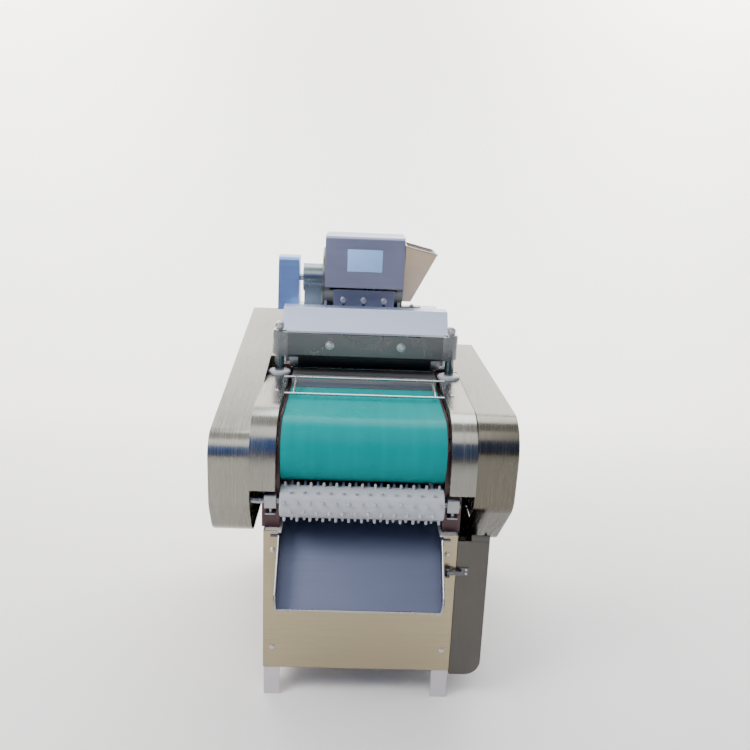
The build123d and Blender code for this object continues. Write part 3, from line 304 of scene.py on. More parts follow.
def build_materials(finish):
    """Every finish of the machine, by name."""
    build_grain_group()
    build_smudge_group()
    steel, reflected_sky, cabinet, box = (tuple(c) for c in (finish.steel, finish.chute_reflection_tint, finish.cabinet, finish.box))
    return {
        "sheet across": brushed_sheet("Brushed sheet, grain across", steel, (4.0, 900.0, 900.0), (0.24, 0.42)),
        "sheet along": brushed_sheet("Brushed sheet, grain along", steel, ALONG, GLOSSY),
        # painted shade: the right cover takes a darker copy of the brushed sheet, for the shade on the machine's
        # right side
        "shaded right sheet": brushed_sheet("Brushed sheet, right cover, painted shade", (0.125, 0.115, 0.092), ALONG, GLOSSY),
        # painted reflection: the cabinet's warm tan tint stands in for the floor that its upright faces mirror
        "cabinet": brushed_sheet("Cabinet sheet, painted floor reflection", cabinet, (3.0, 700.0, 700.0), (0.26, 0.38)),
        # painted reflection: the chute's bluish tint stands in for the sky mirrored in its sloped sheet
        "chute": brushed_sheet("Chute sheet, painted sky reflection", reflected_sky, (4.0, 500.0, 500.0), (0.46, 0.6), marks=3.0),
        # painted reflection: the box's bluish tint stands in for the sky mirrored in its steel
        "box": brushed_sheet("Slicing box sheet, painted sky reflection", box, (5.0, 800.0, 800.0)),
        # painted reflection: the hood's and the belt guard's blue tints stand in for the sky mirrored in their
        # steel
        "hood": brushed_sheet("Hood sheet, painted sky reflection", (0.44, 0.49, 0.62), (4.0, 800.0, 800.0)),
        "belt guard": brushed_sheet("Belt guard sheet, painted sky reflection", (0.25, 0.37, 0.62), (5.0, 5.0, 700.0)),
        "hopper": brushed_sheet("Hopper sheet", (0.70, 0.55, 0.39), (5.0, 5.0, 600.0), (0.34, 0.46)),
        # painted shade: the side door takes a still darker copy of the brushed sheet, for the shade on the
        # machine's right side
        "door": brushed_sheet("Door sheet, painted shade", (0.095, 0.090, 0.082), ALONG),
        "dark": turned_steel("Darkened steel", (0.16, 0.16, 0.17), 0.5, marks=12.0),
        "housing": turned_steel("Housing steel", (0.20, 0.235, 0.245), 0.3, marks=12.0),
        "turned": turned_steel("Turned steel", (0.62, 0.61, 0.58), 0.26),
        "beam": turned_steel("Machined beam", (0.19, 0.20, 0.195), 0.3, marks=16.0),
        "sleeve": turned_steel("Dark turned sleeves", (0.27, 0.285, 0.28), 0.24, marks=16.0),
        "bright": turned_steel("Bright journals", (0.88, 0.87, 0.84), 0.4, marks=12.0),
        "blade plate": brushed_sheet("Blade plate sheet", (0.25, 0.255, 0.32), (4.0, 600.0, 600.0)),
        "cast": turned_steel("Cast and milled steel", (0.40, 0.40, 0.41), 0.42, marks=20.0),
        "zinc": turned_steel("Zinc plated", (0.68, 0.67, 0.62), 0.3, marks=30.0),
        "frame paint": painted("Dark red frame paint", finish.frame_paint, 0.38, coat=0.15, grain=220.0),
        "motor paint": painted("Motor enamel", finish.motor_paint, 0.36, coat=0.3, grain=160.0),
        "nylon": painted("White nylon", (0.44, 0.45, 0.465), 0.42, grain=120.0, depth=0.0003, edge=0.0006,
                         marks=18.0, dusty=(0.25, 0.24, 0.2)),
        "rubber": painted("Black rubber", (0.012, 0.012, 0.014), 0.42, grain=400.0, depth=0.0003),
        "board": painted("Black cutting board", (0.010, 0.010, 0.011), 0.6, grain=260.0, depth=0.0003,
                         edge=0.0006, marks=12.0, dusty=(0.05, 0.05, 0.05)),
        "belt": belt_material(finish.belt),
        "chain": turned_steel("Oiled chain steel", (0.30, 0.29, 0.27), 0.38, marks=30.0),
        "hem": turned_steel("Rolled sheet edge", (0.50, 0.49, 0.46), 0.3, marks=8.0),
        "legs": painted("Leg paint", (0.62, 0.57, 0.54), 0.5, grain=200.0),
        "plate": painted("Blank plate", (0.33, 0.52, 0.85), 0.34, coat=0.2, grain=300.0, depth=0.0001,
                         edge=0.0003),
    }


NODE_FINISH = {
    "sheet along": ("inner_guard_left", "inner_guard_right", "left_drive_cover"),
    "shaded right sheet": ("right_drive_cover",),
    "door": ("side_door",),
    "sheet across": ("bed_plate", "drum_casing"),
    "hood": ("hood",),
    "belt guard": ("slicer_belt_guard",),
    "hopper": ("hopper",),
    "housing": ("bearing_housing",),
    "cabinet": ("cabinet_front_plate", "cabinet_wrap", "cabinet_right_wall", "cabinet_floor_plate"),
    "chute": ("discharge_chute",),
    "box": ("discharge_box",),
    "turned": ("finger_guard", "discharge_drum", "discharge_tail_roller", "feed_front_roller",
               "feed_rear_roller", "crankshaft", "slicer_rotor"),
    "sleeve": ("knife_posts", "clamp_sleeves", "stud_shaft"),
    "bright": ("press_roller_ends",),
    "blade plate": ("blade_holder",),
    "beam": ("knife_beam", "knife"),
    "cast": ("crosshead", "connecting_rod", "shaft_bearings", "post_guides", "stud_bearings", "motor_pulley",
             "slicer_motor_pulley", "head_base", "press_arms"),
    "zinc": ("carriage_bolts", "cover_screws", "door_hinges", "drive_chains"),
    "dark": ("latch_base", "latch_lever", "latch_keeper"),
    "frame paint": ("side_frame_left", "side_frame_right", "motor_mounts"),
    "motor paint": ("main_motor", "slicer_motor"),
    "nylon": ("studded_roller", "post_seals"),
    "board": ("anvil_strip",),
    "rubber": ("press_roller", "drive_belts"),
    "belt": ("discharge_belt", "feed_belt"),
    "legs": ("base_frame",),
}
FINISH_NAMES = {}  # each finish's material name, filled in by the finishes operator


# Modelling helpers

SMOOTH_ANGLE = radians(35)
WASHER_THICK = 0.002


def deselect():
    """Leave edit mode with nothing selected."""
    if bpy.context.object and bpy.context.object.mode != "OBJECT":
        bpy.ops.object.mode_set(mode="OBJECT")
    bpy.ops.object.select_all(action="DESELECT")


def pick(obj):
    """Select one piece alone and make it active."""
    deselect()
    bpy.context.view_layer.objects.active = obj
    obj.select_set(True)


def turn_to(direction):
    """Euler turn that takes +Z to a direction."""
    return Vector(direction).to_track_quat("Z", "Y").to_euler()


def edit_faces(obj, test):
    """Enter edit mode with only the faces that pass the test selected."""
    pick(obj)
    bpy.ops.object.mode_set(mode="EDIT")
    bpy.ops.mesh.select_mode(type="FACE")
    bpy.ops.mesh.select_all(action="DESELECT")
    mesh = bmesh.from_edit_mesh(obj.data)
    mesh.faces.ensure_lookup_table()
    for face in mesh.faces:
        face.select_set(bool(test(face)))
    bmesh.update_edit_mesh(obj.data)


def rod(at, direction, radius, length, steps=(), sides=32):
    """A round or many-sided piece centred at a point, its end face then inset and raised step by step."""
    deselect()
    bpy.ops.mesh.primitive_cylinder_add(vertices=sides, radius=radius, depth=length, location=at,
                                        rotation=turn_to(direction))
    obj = bpy.context.object
    top = length / 2
    for thickness, rise in steps:
        edit_faces(obj, lambda face: face.normal.z > 0.99 and abs(face.calc_center_median().z - top) < 1e-6)
        bpy.ops.mesh.inset(thickness=thickness, depth=rise)
        top += rise
        bpy.ops.object.mode_set(mode="OBJECT")
    return obj


def slab(low, high):
    """A box between two corners, with its origin at its middle."""
    deselect()
    low, high = Vector(low), Vector(high)
    bpy.ops.mesh.primitive_cube_add(size=1, location=(low + high) / 2)
    obj = bpy.context.object
    obj.scale = high - low
    bpy.ops.object.transform_apply(location=False, rotation=False, scale=True)
    return obj


def soften(obj, width, segments=2):
    """Round the piece's edges."""
    pick(obj)
    rounding = obj.modifiers.new("Round", "BEVEL")
    rounding.width = width
    rounding.segments = segments
    rounding.limit_method = "ANGLE"
    rounding.angle_limit = SMOOTH_ANGLE
    bpy.ops.object.modifier_apply(modifier=rounding.name)
    return obj


def rod_between(start, end, radius):
    """A thin round bar from one point to another."""
    start, end = Vector(start), Vector(end)
    return rod((start + end) / 2, end - start, radius, (end - start).length, sides=12)


def joined(parts, name):
    """Join parts into one piece and put its place in its mesh."""
    deselect()
    for part in parts:
        part.select_set(True)
    bpy.context.view_layer.objects.active = parts[0]
    if len(parts) > 1:
        bpy.ops.object.join()
    obj = bpy.context.object
    bpy.ops.object.transform_apply(location=True, rotation=True, scale=True)
    obj.name = name
    obj.data.name = name
    bpy.ops.object.shade_smooth_by_angle(angle=SMOOTH_ANGLE)
    return obj


def finished(parts, name, finish, body, replaces=()):
    """Join, finish and attach one piece to its body, hiding the parts it replaces."""
    obj = joined(parts, name)
    obj.data.materials.clear()
    obj.data.materials.append(bpy.data.materials[FINISH_NAMES[finish]])
    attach(obj, body)
    if replaces:
        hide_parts(*replaces)
    return obj


def copied(source):
    """A copy of a piece with its own mesh."""
    twin = source.copy()
    twin.data = source.data.copy()
    bpy.context.collection.objects.link(twin)
    return twin


def joint_places():
    """The point that each joint turns about or slides through, by the joint's name."""
    return {joint["name"]: joint["pos_m"] for joint in frame["record"]["behaviour"]["joints"]}


def pan_screw(at, direction, radius, height):
    """A pan head screw with a cross recess."""
    crown = ((radius * 0.16, height * 0.3), (radius * 0.3, height * 0.2))
    head = rod(at, direction, radius, height * 0.5, crown, 24)
    middle = Matrix.Translation(Vector(at) + Vector(direction) * (height * 0.75))
    turn = turn_to(direction).to_matrix().to_4x4()
    bars = []
    for x, y in ((radius * 0.5, radius * 0.1), (radius * 0.1, radius * 0.5)):
        bar = slab((-x, -y, -height * 0.5), (x, y, height * 0.5))
        bar.matrix_world = middle @ turn
        bars.append(bar)
    for bar in bars:
        pick(head)
        cut = head.modifiers.new("Recess", "BOOLEAN")
        cut.operation = "DIFFERENCE"
        cut.object = bar
        bpy.ops.object.modifier_apply(modifier=cut.name)
    for bar in bars:
        bpy.data.objects.remove(bar)
    return head


def hex_bolt(at, direction, corner, height, washer):
    """A washer and a chamfered hexagon head on a face; corner and washer are radii."""
    at, direction = Vector(at), Vector(direction)
    ring = soften(rod(at + direction * (WASHER_THICK / 2), direction, washer, WASHER_THICK), 0.0003)
    crown = ((corner * 0.12, height * 0.1), (corner * 0.25, 0.0), (corner * 0.12, -height * 0.06))
    head = rod(at + direction * (WASHER_THICK + height * 0.45), direction, corner, height * 0.9, crown, 6)
    return [ring, soften(head, 0.0004)]


# Operators, each with the places and sizes that it works from, in metres

class SHREDDER_OT_finishes(bpy.types.Operator):
    """Give every solid of the machine its finish"""
    bl_idname = "shredder.finishes"
    bl_label = "Finishes"

    def execute(self, context):
        made = build_materials(context.scene.shredder_finish)
        for finish, material in made.items():
            FINISH_NAMES[finish] = material.name
        for finish, nodes in NODE_FINISH.items():
            for name in nodes:
                obj = frame["nodes"][name]
                obj.data.materials.clear()
                obj.data.materials.append(made[finish])
        bare = set(frame["nodes"]) - {n for nodes in NODE_FINISH.values() for n in nodes}
        if bare:
            raise RuntimeError(f"no finish for {sorted(bare)}")
        return {"FINISHED"}


CABINET_SCREW_X, CABINET_SCREW_HEIGHTS = 0.208, (0.396, 0.135)
GUARD_SCREW_X, GUARD_SCREW_Y = 0.221, -0.155
SCREW_STAND = 0.0008  # how far a screw head's middle stands off its sheet
BLADE_BOLT_OFFSETS, BLADE_BOLT_HEIGHT = (-0.06, 0, 0.06), 0.896
SLOT_HALF, SLOT_LOW, SLOT_HIGH = 0.0042, 0.8770, 0.8845  # half width, bottom and top of the blade plate's slots
SLOT_SHADE_RISE, SLOT_SHADE_DEPTH = 0.0006, 0.0010  # dark slabs painted as the shade in the blade plate's slots: before and behind the plate's face


class SHREDDER_OT_screws(bpy.types.Operator):
    """Panel screws on the cabinet front and guards, the blade plate's bolts, and dark slabs painting the shade in
    its slots
    """
    bl_idname = "shredder.screws"
    bl_label = "Screws"

    def execute(self, context):
        radius = context.scene.shredder_sizes.screw_radius
        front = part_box("cabinet_front_plate")[0].y
        guard_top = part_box("inner_guard_left")[1].z
        parts = [pan_screw((side * CABINET_SCREW_X, front - SCREW_STAND, z), FRONT, radius, height=0.0035)
                 for side in SIDES for z in CABINET_SCREW_HEIGHTS]
        parts += [pan_screw((side * GUARD_SCREW_X, GUARD_SCREW_Y, guard_top + SCREW_STAND), UP,
                            radius=0.005, height=0.003) for side in SIDES]
        low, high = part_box("blade_holder")
        middle = (low.x + high.x) / 2
        for x in BLADE_BOLT_OFFSETS:
            parts += hex_bolt((middle + x, low.y, BLADE_BOLT_HEIGHT), FRONT,
                              corner=0.0066, height=0.0046, washer=0.0092)
        finished(parts, "panel_screws", "zinc", "frame", ("cover_screws",))
        # dark rubber slabs in the slots: painted shade for the open slots' dark insides
        shade_slabs = [slab((middle + x - SLOT_HALF, low.y - SLOT_SHADE_RISE, SLOT_LOW),
                      (middle + x + SLOT_HALF, low.y + SLOT_SHADE_DEPTH, SLOT_HIGH)) for x in BLADE_BOLT_OFFSETS]
        finished([soften(shade_slab, 0.0016) for shade_slab in shade_slabs], "blade_slot_shade", "rubber", "frame")
        return {"FINISHED"}


FOOT_THICK = 0.006
FOOT_BOLT_LEFT, FOOT_BOLT_RIGHT, FOOT_BOLT_ENDS = 0.022, 0.028, 0.013  # in from the base's edges
BOX_LEAN = 0.010  # how far the discharge box's front leans in towards its top
PLATE_HALF = (0.051, 0.032, 0.0005)
PLATE_HEIGHT, PLATE_STAND = 0.080, 0.0003  # its middle above the box's underside, and out from its front


class SHREDDER_OT_head_fittings(bpy.types.Operator):
    """Foot bolts of the slicing head, and the blank plate on its discharge box"""
    bl_idname = "shredder.head_fittings"
    bl_label = "Slicing head fittings"

    def execute(self, context):
        low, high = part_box("head_base")
        bolts = []
        for x in (low.x + FOOT_BOLT_LEFT, high.x - FOOT_BOLT_RIGHT):
            for y in (low.y + FOOT_BOLT_ENDS, high.y - FOOT_BOLT_ENDS):
                bolts += hex_bolt((x, y, low.z + FOOT_THICK), UP, corner=0.0062, height=0.0045, washer=0.0095)
        finished(bolts, "head_foot_bolts", "zinc", "frame")
        low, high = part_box("discharge_box")
        lean = atan2(BOX_LEAN, high.z - low.z)
        half = Vector(PLATE_HALF)
        plate = soften(slab(-half, half), 0.0004)
        middle_z = low.z + PLATE_HEIGHT
        front = low.y + (middle_z - low.z) * sin(lean)
        plate.location = ((low.x + high.x) / 2, front - PLATE_STAND, middle_z)
        plate.rotation_euler = (pi / 2 - lean, 0, 0)
        finished([plate], "blank_plate", "plate", "frame")
        return {"FINISHED"}


# Node, piece, body, distance in from the node's side and from its ends, radius, and the crown's inset and rise
LATCH_RIVETS = (("latch_base", "latch_base_rivets", "frame", 0.0035, 0.0035, 0.002, (0.0006, 0.0004)),
                ("latch_keeper", "latch_keeper_rivets", "door", 0.006, 0.005, 0.0028, (0.0008, 0.0006)))
RIVET_SINK, RIVET_HEIGHT = 0.0026, 0.0012  # its middle's distance in from the node's back, and its first step


class SHREDDER_OT_latch_rivets(bpy.types.Operator):
    """Rivets of the draw latch and its keeper"""
    bl_idname = "shredder.latch_rivets"
    bl_label = "Latch rivets"

    def execute(self, context):
        for node, name, body, from_side, from_end, radius, crown in LATCH_RIVETS:
            low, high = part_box(node)
            x, y = high.x - from_side, high.y - RIVET_SINK
            rivets = [rod((x, y, z), FRONT, radius, RIVET_HEIGHT, (crown,), 16)
                      for z in (low.z + from_end, high.z - from_end)]
            finished(rivets, name, "zinc", body)
        return {"FINISHED"}


CHUTE_HALF = 0.196  # half its width
CHUTE_NOSE_HEIGHTS = (0.318, 0.330)  # bottom and top of the side walls' front edge
CHUTE_LIP_Y = -0.429  # where the floor ends, behind the walls' front edge
HOPPER_SLOPE = 0.24  # fall of the hopper's mouth from left to right
HOPPER_LEFT_INSET, HOPPER_TAPER = 0.006, 0.002  # the mouth's left edge, and its lesser half width on the right


class SHREDDER_OT_hems(bpy.types.Operator):
    """Rolled edges of the chute and the hopper"""
    bl_idname = "shredder.hems"
    bl_label = "Rolled edges"

    def execute(self, context):
        radius = context.scene.shredder_sizes.hem
        low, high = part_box("discharge_chute")
        plate_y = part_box("cabinet_front_plate")[0].y
        half = CHUTE_HALF - radius
        edges, lips = [], []
        for side in SIDES:
            nose_low, nose_high = ((side * half, low.y + radius, z) for z in CHUTE_NOSE_HEIGHTS)
            shoulder = (side * half, plate_y - radius, high.z - radius)
            lips.append((side * half, CHUTE_LIP_Y, low.z + radius))
            edges += [rod_between(nose_low, nose_high, radius), rod_between(nose_high, shoulder, radius),
                      rod_between(nose_low, lips[-1], radius)]
        edges.append(rod_between(*lips, radius))
        finished(edges, "chute_hem", "hem", "frame")
        low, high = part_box("hopper")
        left, right, top = low.x + HOPPER_LEFT_INSET, high.x - radius, high.z - radius
        bottom = top - (right - left) * HOPPER_SLOPE
        wide = (high.y - low.y) / 2 - radius
        narrow = wide - HOPPER_TAPER
        y = (low.y + high.y) / 2
        corners = [(left, y - wide, top), (right, y - narrow, bottom), (right, y + narrow, bottom),
                   (left, y + wide, top)]
        rim = [rod_between(a, b, radius) for a, b in zip(corners, corners[1:] + corners[:1])]
        finished(rim, "hopper_rim", "hem", "frame")
        return {"FINISHED"}


COVER_OVERHANG = 0.048  # from the door's outside to the right cover's
FLANGE_START, FLANGE_THICK, FLANGE_RISE = 0.032, 0.002, 0.016  # start: in from the door's inner edge
SHADE_STRIP_X, SHADE_STRIP_Y, SHADE_STRIP_Z = (0.0006, 0.0096), (-0.126, 0.024), (-0.0008, 0.0014)  # black strip painted as the shade in the slit outside the door: X from the door, Z from the cover


class SHREDDER_OT_drive_shields(bpy.types.Operator):
    """The door's upturned front flange, and a black strip under the right cover outside the door: painted shade
    in the slit there
    """
    bl_idname = "shredder.drive_shields"
    bl_label = "Drive space shields"

    def execute(self, context):
        low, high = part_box("side_door")
        cover_low, cover_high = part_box("right_drive_cover")
        outer = cover_high.x - COVER_OVERHANG
        flange = slab((low.x + FLANGE_START, low.y, high.z - FLANGE_THICK),
                      (outer, low.y + FLANGE_THICK, high.z + FLANGE_RISE))
        # the flange takes the door's darker sheet, with its painted shade
        finished([soften(flange, 0.0006)], "door_top_flange", "door", "door")
        # black rubber strip: painted shade for the dark slit between the right cover and the door
        near, far = (Vector((outer + x, y, cover_low.z + z)) for x, y, z in zip(SHADE_STRIP_X, SHADE_STRIP_Y, SHADE_STRIP_Z))
        finished([soften(slab(near, far), 0.0004)], "cover_floor_shade_strip", "rubber", "frame")
        return {"FINISHED"}


SET_SCREW_INSET, SET_SCREW_RING = 0.009, 0.0375  # in from the roller's ends, and out from its axis
SET_SCREW_TURN = 18  # degrees
SET_SCREW_RADIUS, SET_SCREW_HEIGHT = 0.0032, 0.001
SET_SCREW_SOCKET = ((0.0008, 0.0), (0.0004, -0.0006))  # inset and rise of each step


class SHREDDER_OT_roller_screws(bpy.types.Operator):
    """Socket set screws that hold the studded roller on its shaft, near both ends"""
    bl_idname = "shredder.roller_screws"
    bl_label = "Roller set screws"

    def execute(self, context):
        low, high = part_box("studded_roller")
        y, z = (low.y + high.y) / 2, (low.z + high.z) / 2
        screws = []
        for x in (low.x + SET_SCREW_INSET, high.x - SET_SCREW_INSET):
            for quarter in range(4):
                angle = radians(SET_SCREW_TURN + 90 * quarter)
                out = Vector((0, -cos(angle), sin(angle)))
                at = Vector((x, y, z)) + out * SET_SCREW_RING
                screws.append(rod(at, out, SET_SCREW_RADIUS, SET_SCREW_HEIGHT, SET_SCREW_SOCKET, sides=12))
        finished(screws, "roller_set_screws", "dark", "stud")
        return {"FINISHED"}


# Each chain's two wheels as joint and radius, and the chain's own X
CHAINS = ((("crank_turn", 0.0362), ("drum_turn", 0.0362), 0.296),
          (("feed_front_turn", 0.0322), ("drum_turn", 0.0322), -0.284),
          (("drum_turn", 0.0442), ("stud_turn", 0.0162), -0.302))
LINK_ROLLER, LINK_ROLLER_LENGTH = 0.0026, 0.0034
LINK_PLATE_X, LINK_PLATE_HALF, LINK_PLATE_THICK, LINK_PLATE_END = 0.0026, 0.0026, 0.001, 0.0024


class SHREDDER_OT_chains(bpy.types.Operator):
    """Roller chains of the crankshaft, the feed roller and the studded roller"""
    bl_idname = "shredder.chains"
    bl_label = "Roller chains"

    def execute(self, context):
        pitch = context.scene.shredder_sizes.chain_pitch
        places = joint_places()
        template = self.link(pitch)
        links = []
        for (first, first_radius), (second, second_radius), x in CHAINS:
            start, end = Vector(places[first][1:]), Vector(places[second][1:])
            links += self.run(template, start, first_radius, end, second_radius, x, pitch)
        bpy.data.objects.remove(template)
        finished(links, "roller_chains", "chain", "frame", ("drive_chains",))
        return {"FINISHED"}

    @staticmethod
    def link(pitch):
        """One link: a roller and two side plates with cut corners, along Y about the origin."""
        parts = [rod((0, -pitch / 2, 0), RIGHT, LINK_ROLLER, LINK_ROLLER_LENGTH, sides=10)]
        end = pitch / 2 + LINK_PLATE_END
        for side in SIDES:
            plate = slab((side * LINK_PLATE_X - LINK_PLATE_THICK / 2, -end, -LINK_PLATE_HALF),
                         (side * LINK_PLATE_X + LINK_PLATE_THICK / 2, end, LINK_PLATE_HALF))
            parts.append(soften(plate, 0.0011, 1))
        return joined(parts, "chain_link")

    @staticmethod
    def run(template, start, ra, end, rb, x, pitch):
        """Whole links placed round two wheels, each a (y, z) centre and a radius."""
        distance = (end - start).length
        lean = atan2(end.y - start.y, end.x - start.x)
        swing = asin((ra - rb) / distance)
        straight = distance * cos(swing)
        arc_a, arc_b = ra * (pi + 2 * swing), rb * (pi - 2 * swing)
        length = 2 * straight + arc_a + arc_b
        count = round(length / pitch)
        over, under = lean + pi / 2 - swing, lean - pi / 2 + swing
        links = []
        for index in range(count):
            s = index * (length / count)
            slide = 0.0
            if s < straight:
                wheel, radius, turn, slide = start, ra, over, s
            elif s < straight + arc_b:
                wheel, radius, turn = end, rb, over - (s - straight) / rb
            elif s < 2 * straight + arc_b:
                wheel, radius, turn, slide = end, rb, under, s - straight - arc_b
            else:
                wheel, radius, turn = start, ra, under - (s - 2 * straight - arc_b) / ra
            out, onward = Vector((cos(turn), sin(turn))), Vector((sin(turn), -cos(turn)))
            piece = copied(template)
            piece.location = (x, *(wheel + out * radius + onward * slide))
            piece.rotation_euler = (turn - pi / 2, 0, 0)
            links.append(piece)
        return links


# Each motor's node, piece and joint, and the parts of its round, in degrees, that its box and feet leave bare
MOTORS = (("main_motor", "main_motor_ribs", "motor_turn", ((60, 120), (225, 315))),
          ("slicer_motor", "slicer_motor_ribs", "slicer_motor_turn", ((225, 315),)))
RIB_STEP = 12  # degrees
RIB_HALF_THICK, RIB_HALF_HEIGHT = 0.001, 0.005
RIB_END, RIB_STAND = 0.03, 0.0035  # in from the motor's ends, and its middle's distance out from the motor's side


class SHREDDER_OT_motor_fins(bpy.types.Operator):
    """Cooling ribs round both motors"""
    bl_idname = "shredder.motor_fins"
    bl_label = "Motor ribs"

    def execute(self, context):
        places = joint_places()
        for node, name, joint, bare in MOTORS:
            low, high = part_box(node)
            centre = Vector(((low.x + high.x) / 2, *places[joint][1:]))
            ring = (high.y - low.y) / 2 + RIB_STAND
            half = Vector((0.5 * (high.x - low.x) - RIB_END, RIB_HALF_THICK, RIB_HALF_HEIGHT))
            ribs = []
            for angle in range(0, 360, RIB_STEP):
                if any(first < angle < last for first, last in bare):
                    continue
                rib = slab(-half, half)
                rib.location = centre + Vector((0, cos(radians(angle)), sin(radians(angle)))) * ring
                rib.rotation_euler = (radians(angle) - pi / 2, 0, 0)
                ribs.append(rib)
            finished(ribs, name, "motor paint", "frame")
        return {"FINISHED"}


KNIFE_BOLT_X, KNIFE_BOLT_HEIGHT = 0.095, 0.818
POST_RADIUS = 0.0125
RING_RADIUS, RING_THICK = 0.0165, 0.003
LUG_RADIUS, LUG_DEPTH = 0.0115, 0.018
NECK_HALF = 0.0100  # half width of the neck between ring and lug
NECK_START, LUG_RISE, LUG_BOLT_RISE = 0.002, 0.0125, 0.0130  # above the post's top


class SHREDDER_OT_carriage_bolts(bpy.types.Operator):
    """Knife bolts with washers, and the ring, round clamp lug and bolt on top of each post"""
    bl_idname = "shredder.carriage_bolts"
    bl_label = "Carriage bolts"

    def execute(self, context):
        knife_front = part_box("knife")[0].y
        low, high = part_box("knife_posts")
        y, top = (low.y + high.y) / 2, high.z
        front, back = y - LUG_DEPTH / 2, y + LUG_DEPTH / 2
        parts = []
        for side in SIDES:
            parts += hex_bolt((side * KNIFE_BOLT_X, knife_front, KNIFE_BOLT_HEIGHT), FRONT,
                              corner=0.0078, height=0.0056, washer=0.0118)
            x = side * (high.x - POST_RADIUS)
            parts.append(soften(rod((x, y, top + RING_THICK / 2), UP, RING_RADIUS, RING_THICK, sides=40), 0.0005))
            parts.append(soften(rod((x, y, top + LUG_RISE), FRONT, LUG_RADIUS, LUG_DEPTH), 0.0015))
            parts.append(soften(slab((x - NECK_HALF, front, top + NECK_START),
                                     (x + NECK_HALF, back, top + LUG_RISE)), 0.0008))
            parts += hex_bolt((x, front, top + LUG_BOLT_RISE), FRONT, corner=0.0068, height=0.0050, washer=0.0092)
        finished(parts, "post_nuts_and_knife_bolts", "zinc", "carriage", ("carriage_bolts",))
        return {"FINISHED"}


FLOOR_SIZE, FLOOR_Y, WALL_HEIGHT, WALL_BEND = 16, -4, 3.9, 2.2
FLOOR_TONES = (0.86, 0.84, 0.80), (0.89, 0.87, 0.83)

# Name, place, aim, size, power and colour
LIGHTS = (("key", (-2.2, -1.6, 3.0), (0, 0, 0.6), 1.5, 120, (1.0, 0.96, 0.90)),
          ("fill", (3.0, -0.6, 1.7), (0, 0, 0.5), 1.6, 12, (0.78, 0.87, 1.0)),
          ("front", (0.0, -2.8, 4.2), (0, -1.0, 0), 2.4, 45, (1.0, 0.99, 0.97)),
          ("top", (0.3, 1.3, 3.2), (0, 0, 0.8), 1.8, 80, (0.90, 0.95, 1.0)),
          ("backdrop left", (-2.6, 2.6, 3.6), (-1.5, 6.5, 0.6), 2.6, 420, (1.0, 0.98, 0.95)),
          ("backdrop right", (2.6, 2.6, 3.6), (1.5, 6.5, 0.6), 2.6, 420, (1.0, 0.98, 0.95)))

# The surroundings that the steel reflects, a quarter each: how far up a direction points, and its colour
SKY_FRONT_LEFT = ((0.0, (0.30, 0.26, 0.20)), (0.03, (0.36, 0.31, 0.25)), (0.05, (0.60, 0.58, 0.56)),
                  (0.08, (0.10, 0.24, 0.78)), (0.45, (0.12, 0.30, 1.00)), (0.68, (0.30, 0.52, 1.0)),
                  (0.90, (1.0, 1.0, 1.0)))
SKY_FRONT_RIGHT = ((0.0, (0.20, 0.18, 0.14)), (0.04, (0.24, 0.21, 0.16)), (0.09, (0.10, 0.16, 0.36)),
                   (0.45, (0.15, 0.21, 0.40)), (0.70, (0.32, 0.38, 0.52)), (0.90, (0.90, 0.90, 0.90)))
SKY_BACK_LEFT = ((0.0, (0.90, 0.90, 0.90)), (0.30, (0.80, 0.87, 1.0)), (0.60, (0.80, 0.90, 1.0)),
                 (0.90, (1.0, 1.0, 1.0)))
SKY_BACK_RIGHT = ((0.0, (0.90, 0.90, 0.90)), (0.30, (0.75, 0.66, 0.54)), (0.55, (0.62, 0.53, 0.42)),
                  (0.90, (0.90, 0.90, 1.0)))
CAMERA_SEES = (1.9, 1.88, 1.86)  # the plain pale colour behind the object
WORLD_STRENGTH = 0.95

CAMERA_PLACE = (-0.03376, -2.05229, 1.28136)
CAMERA_TURN = (1.75, 14.87, -2.33)  # yaw, pitch and roll in degrees, as solved on the photograph
SENSOR_WIDTH = 36


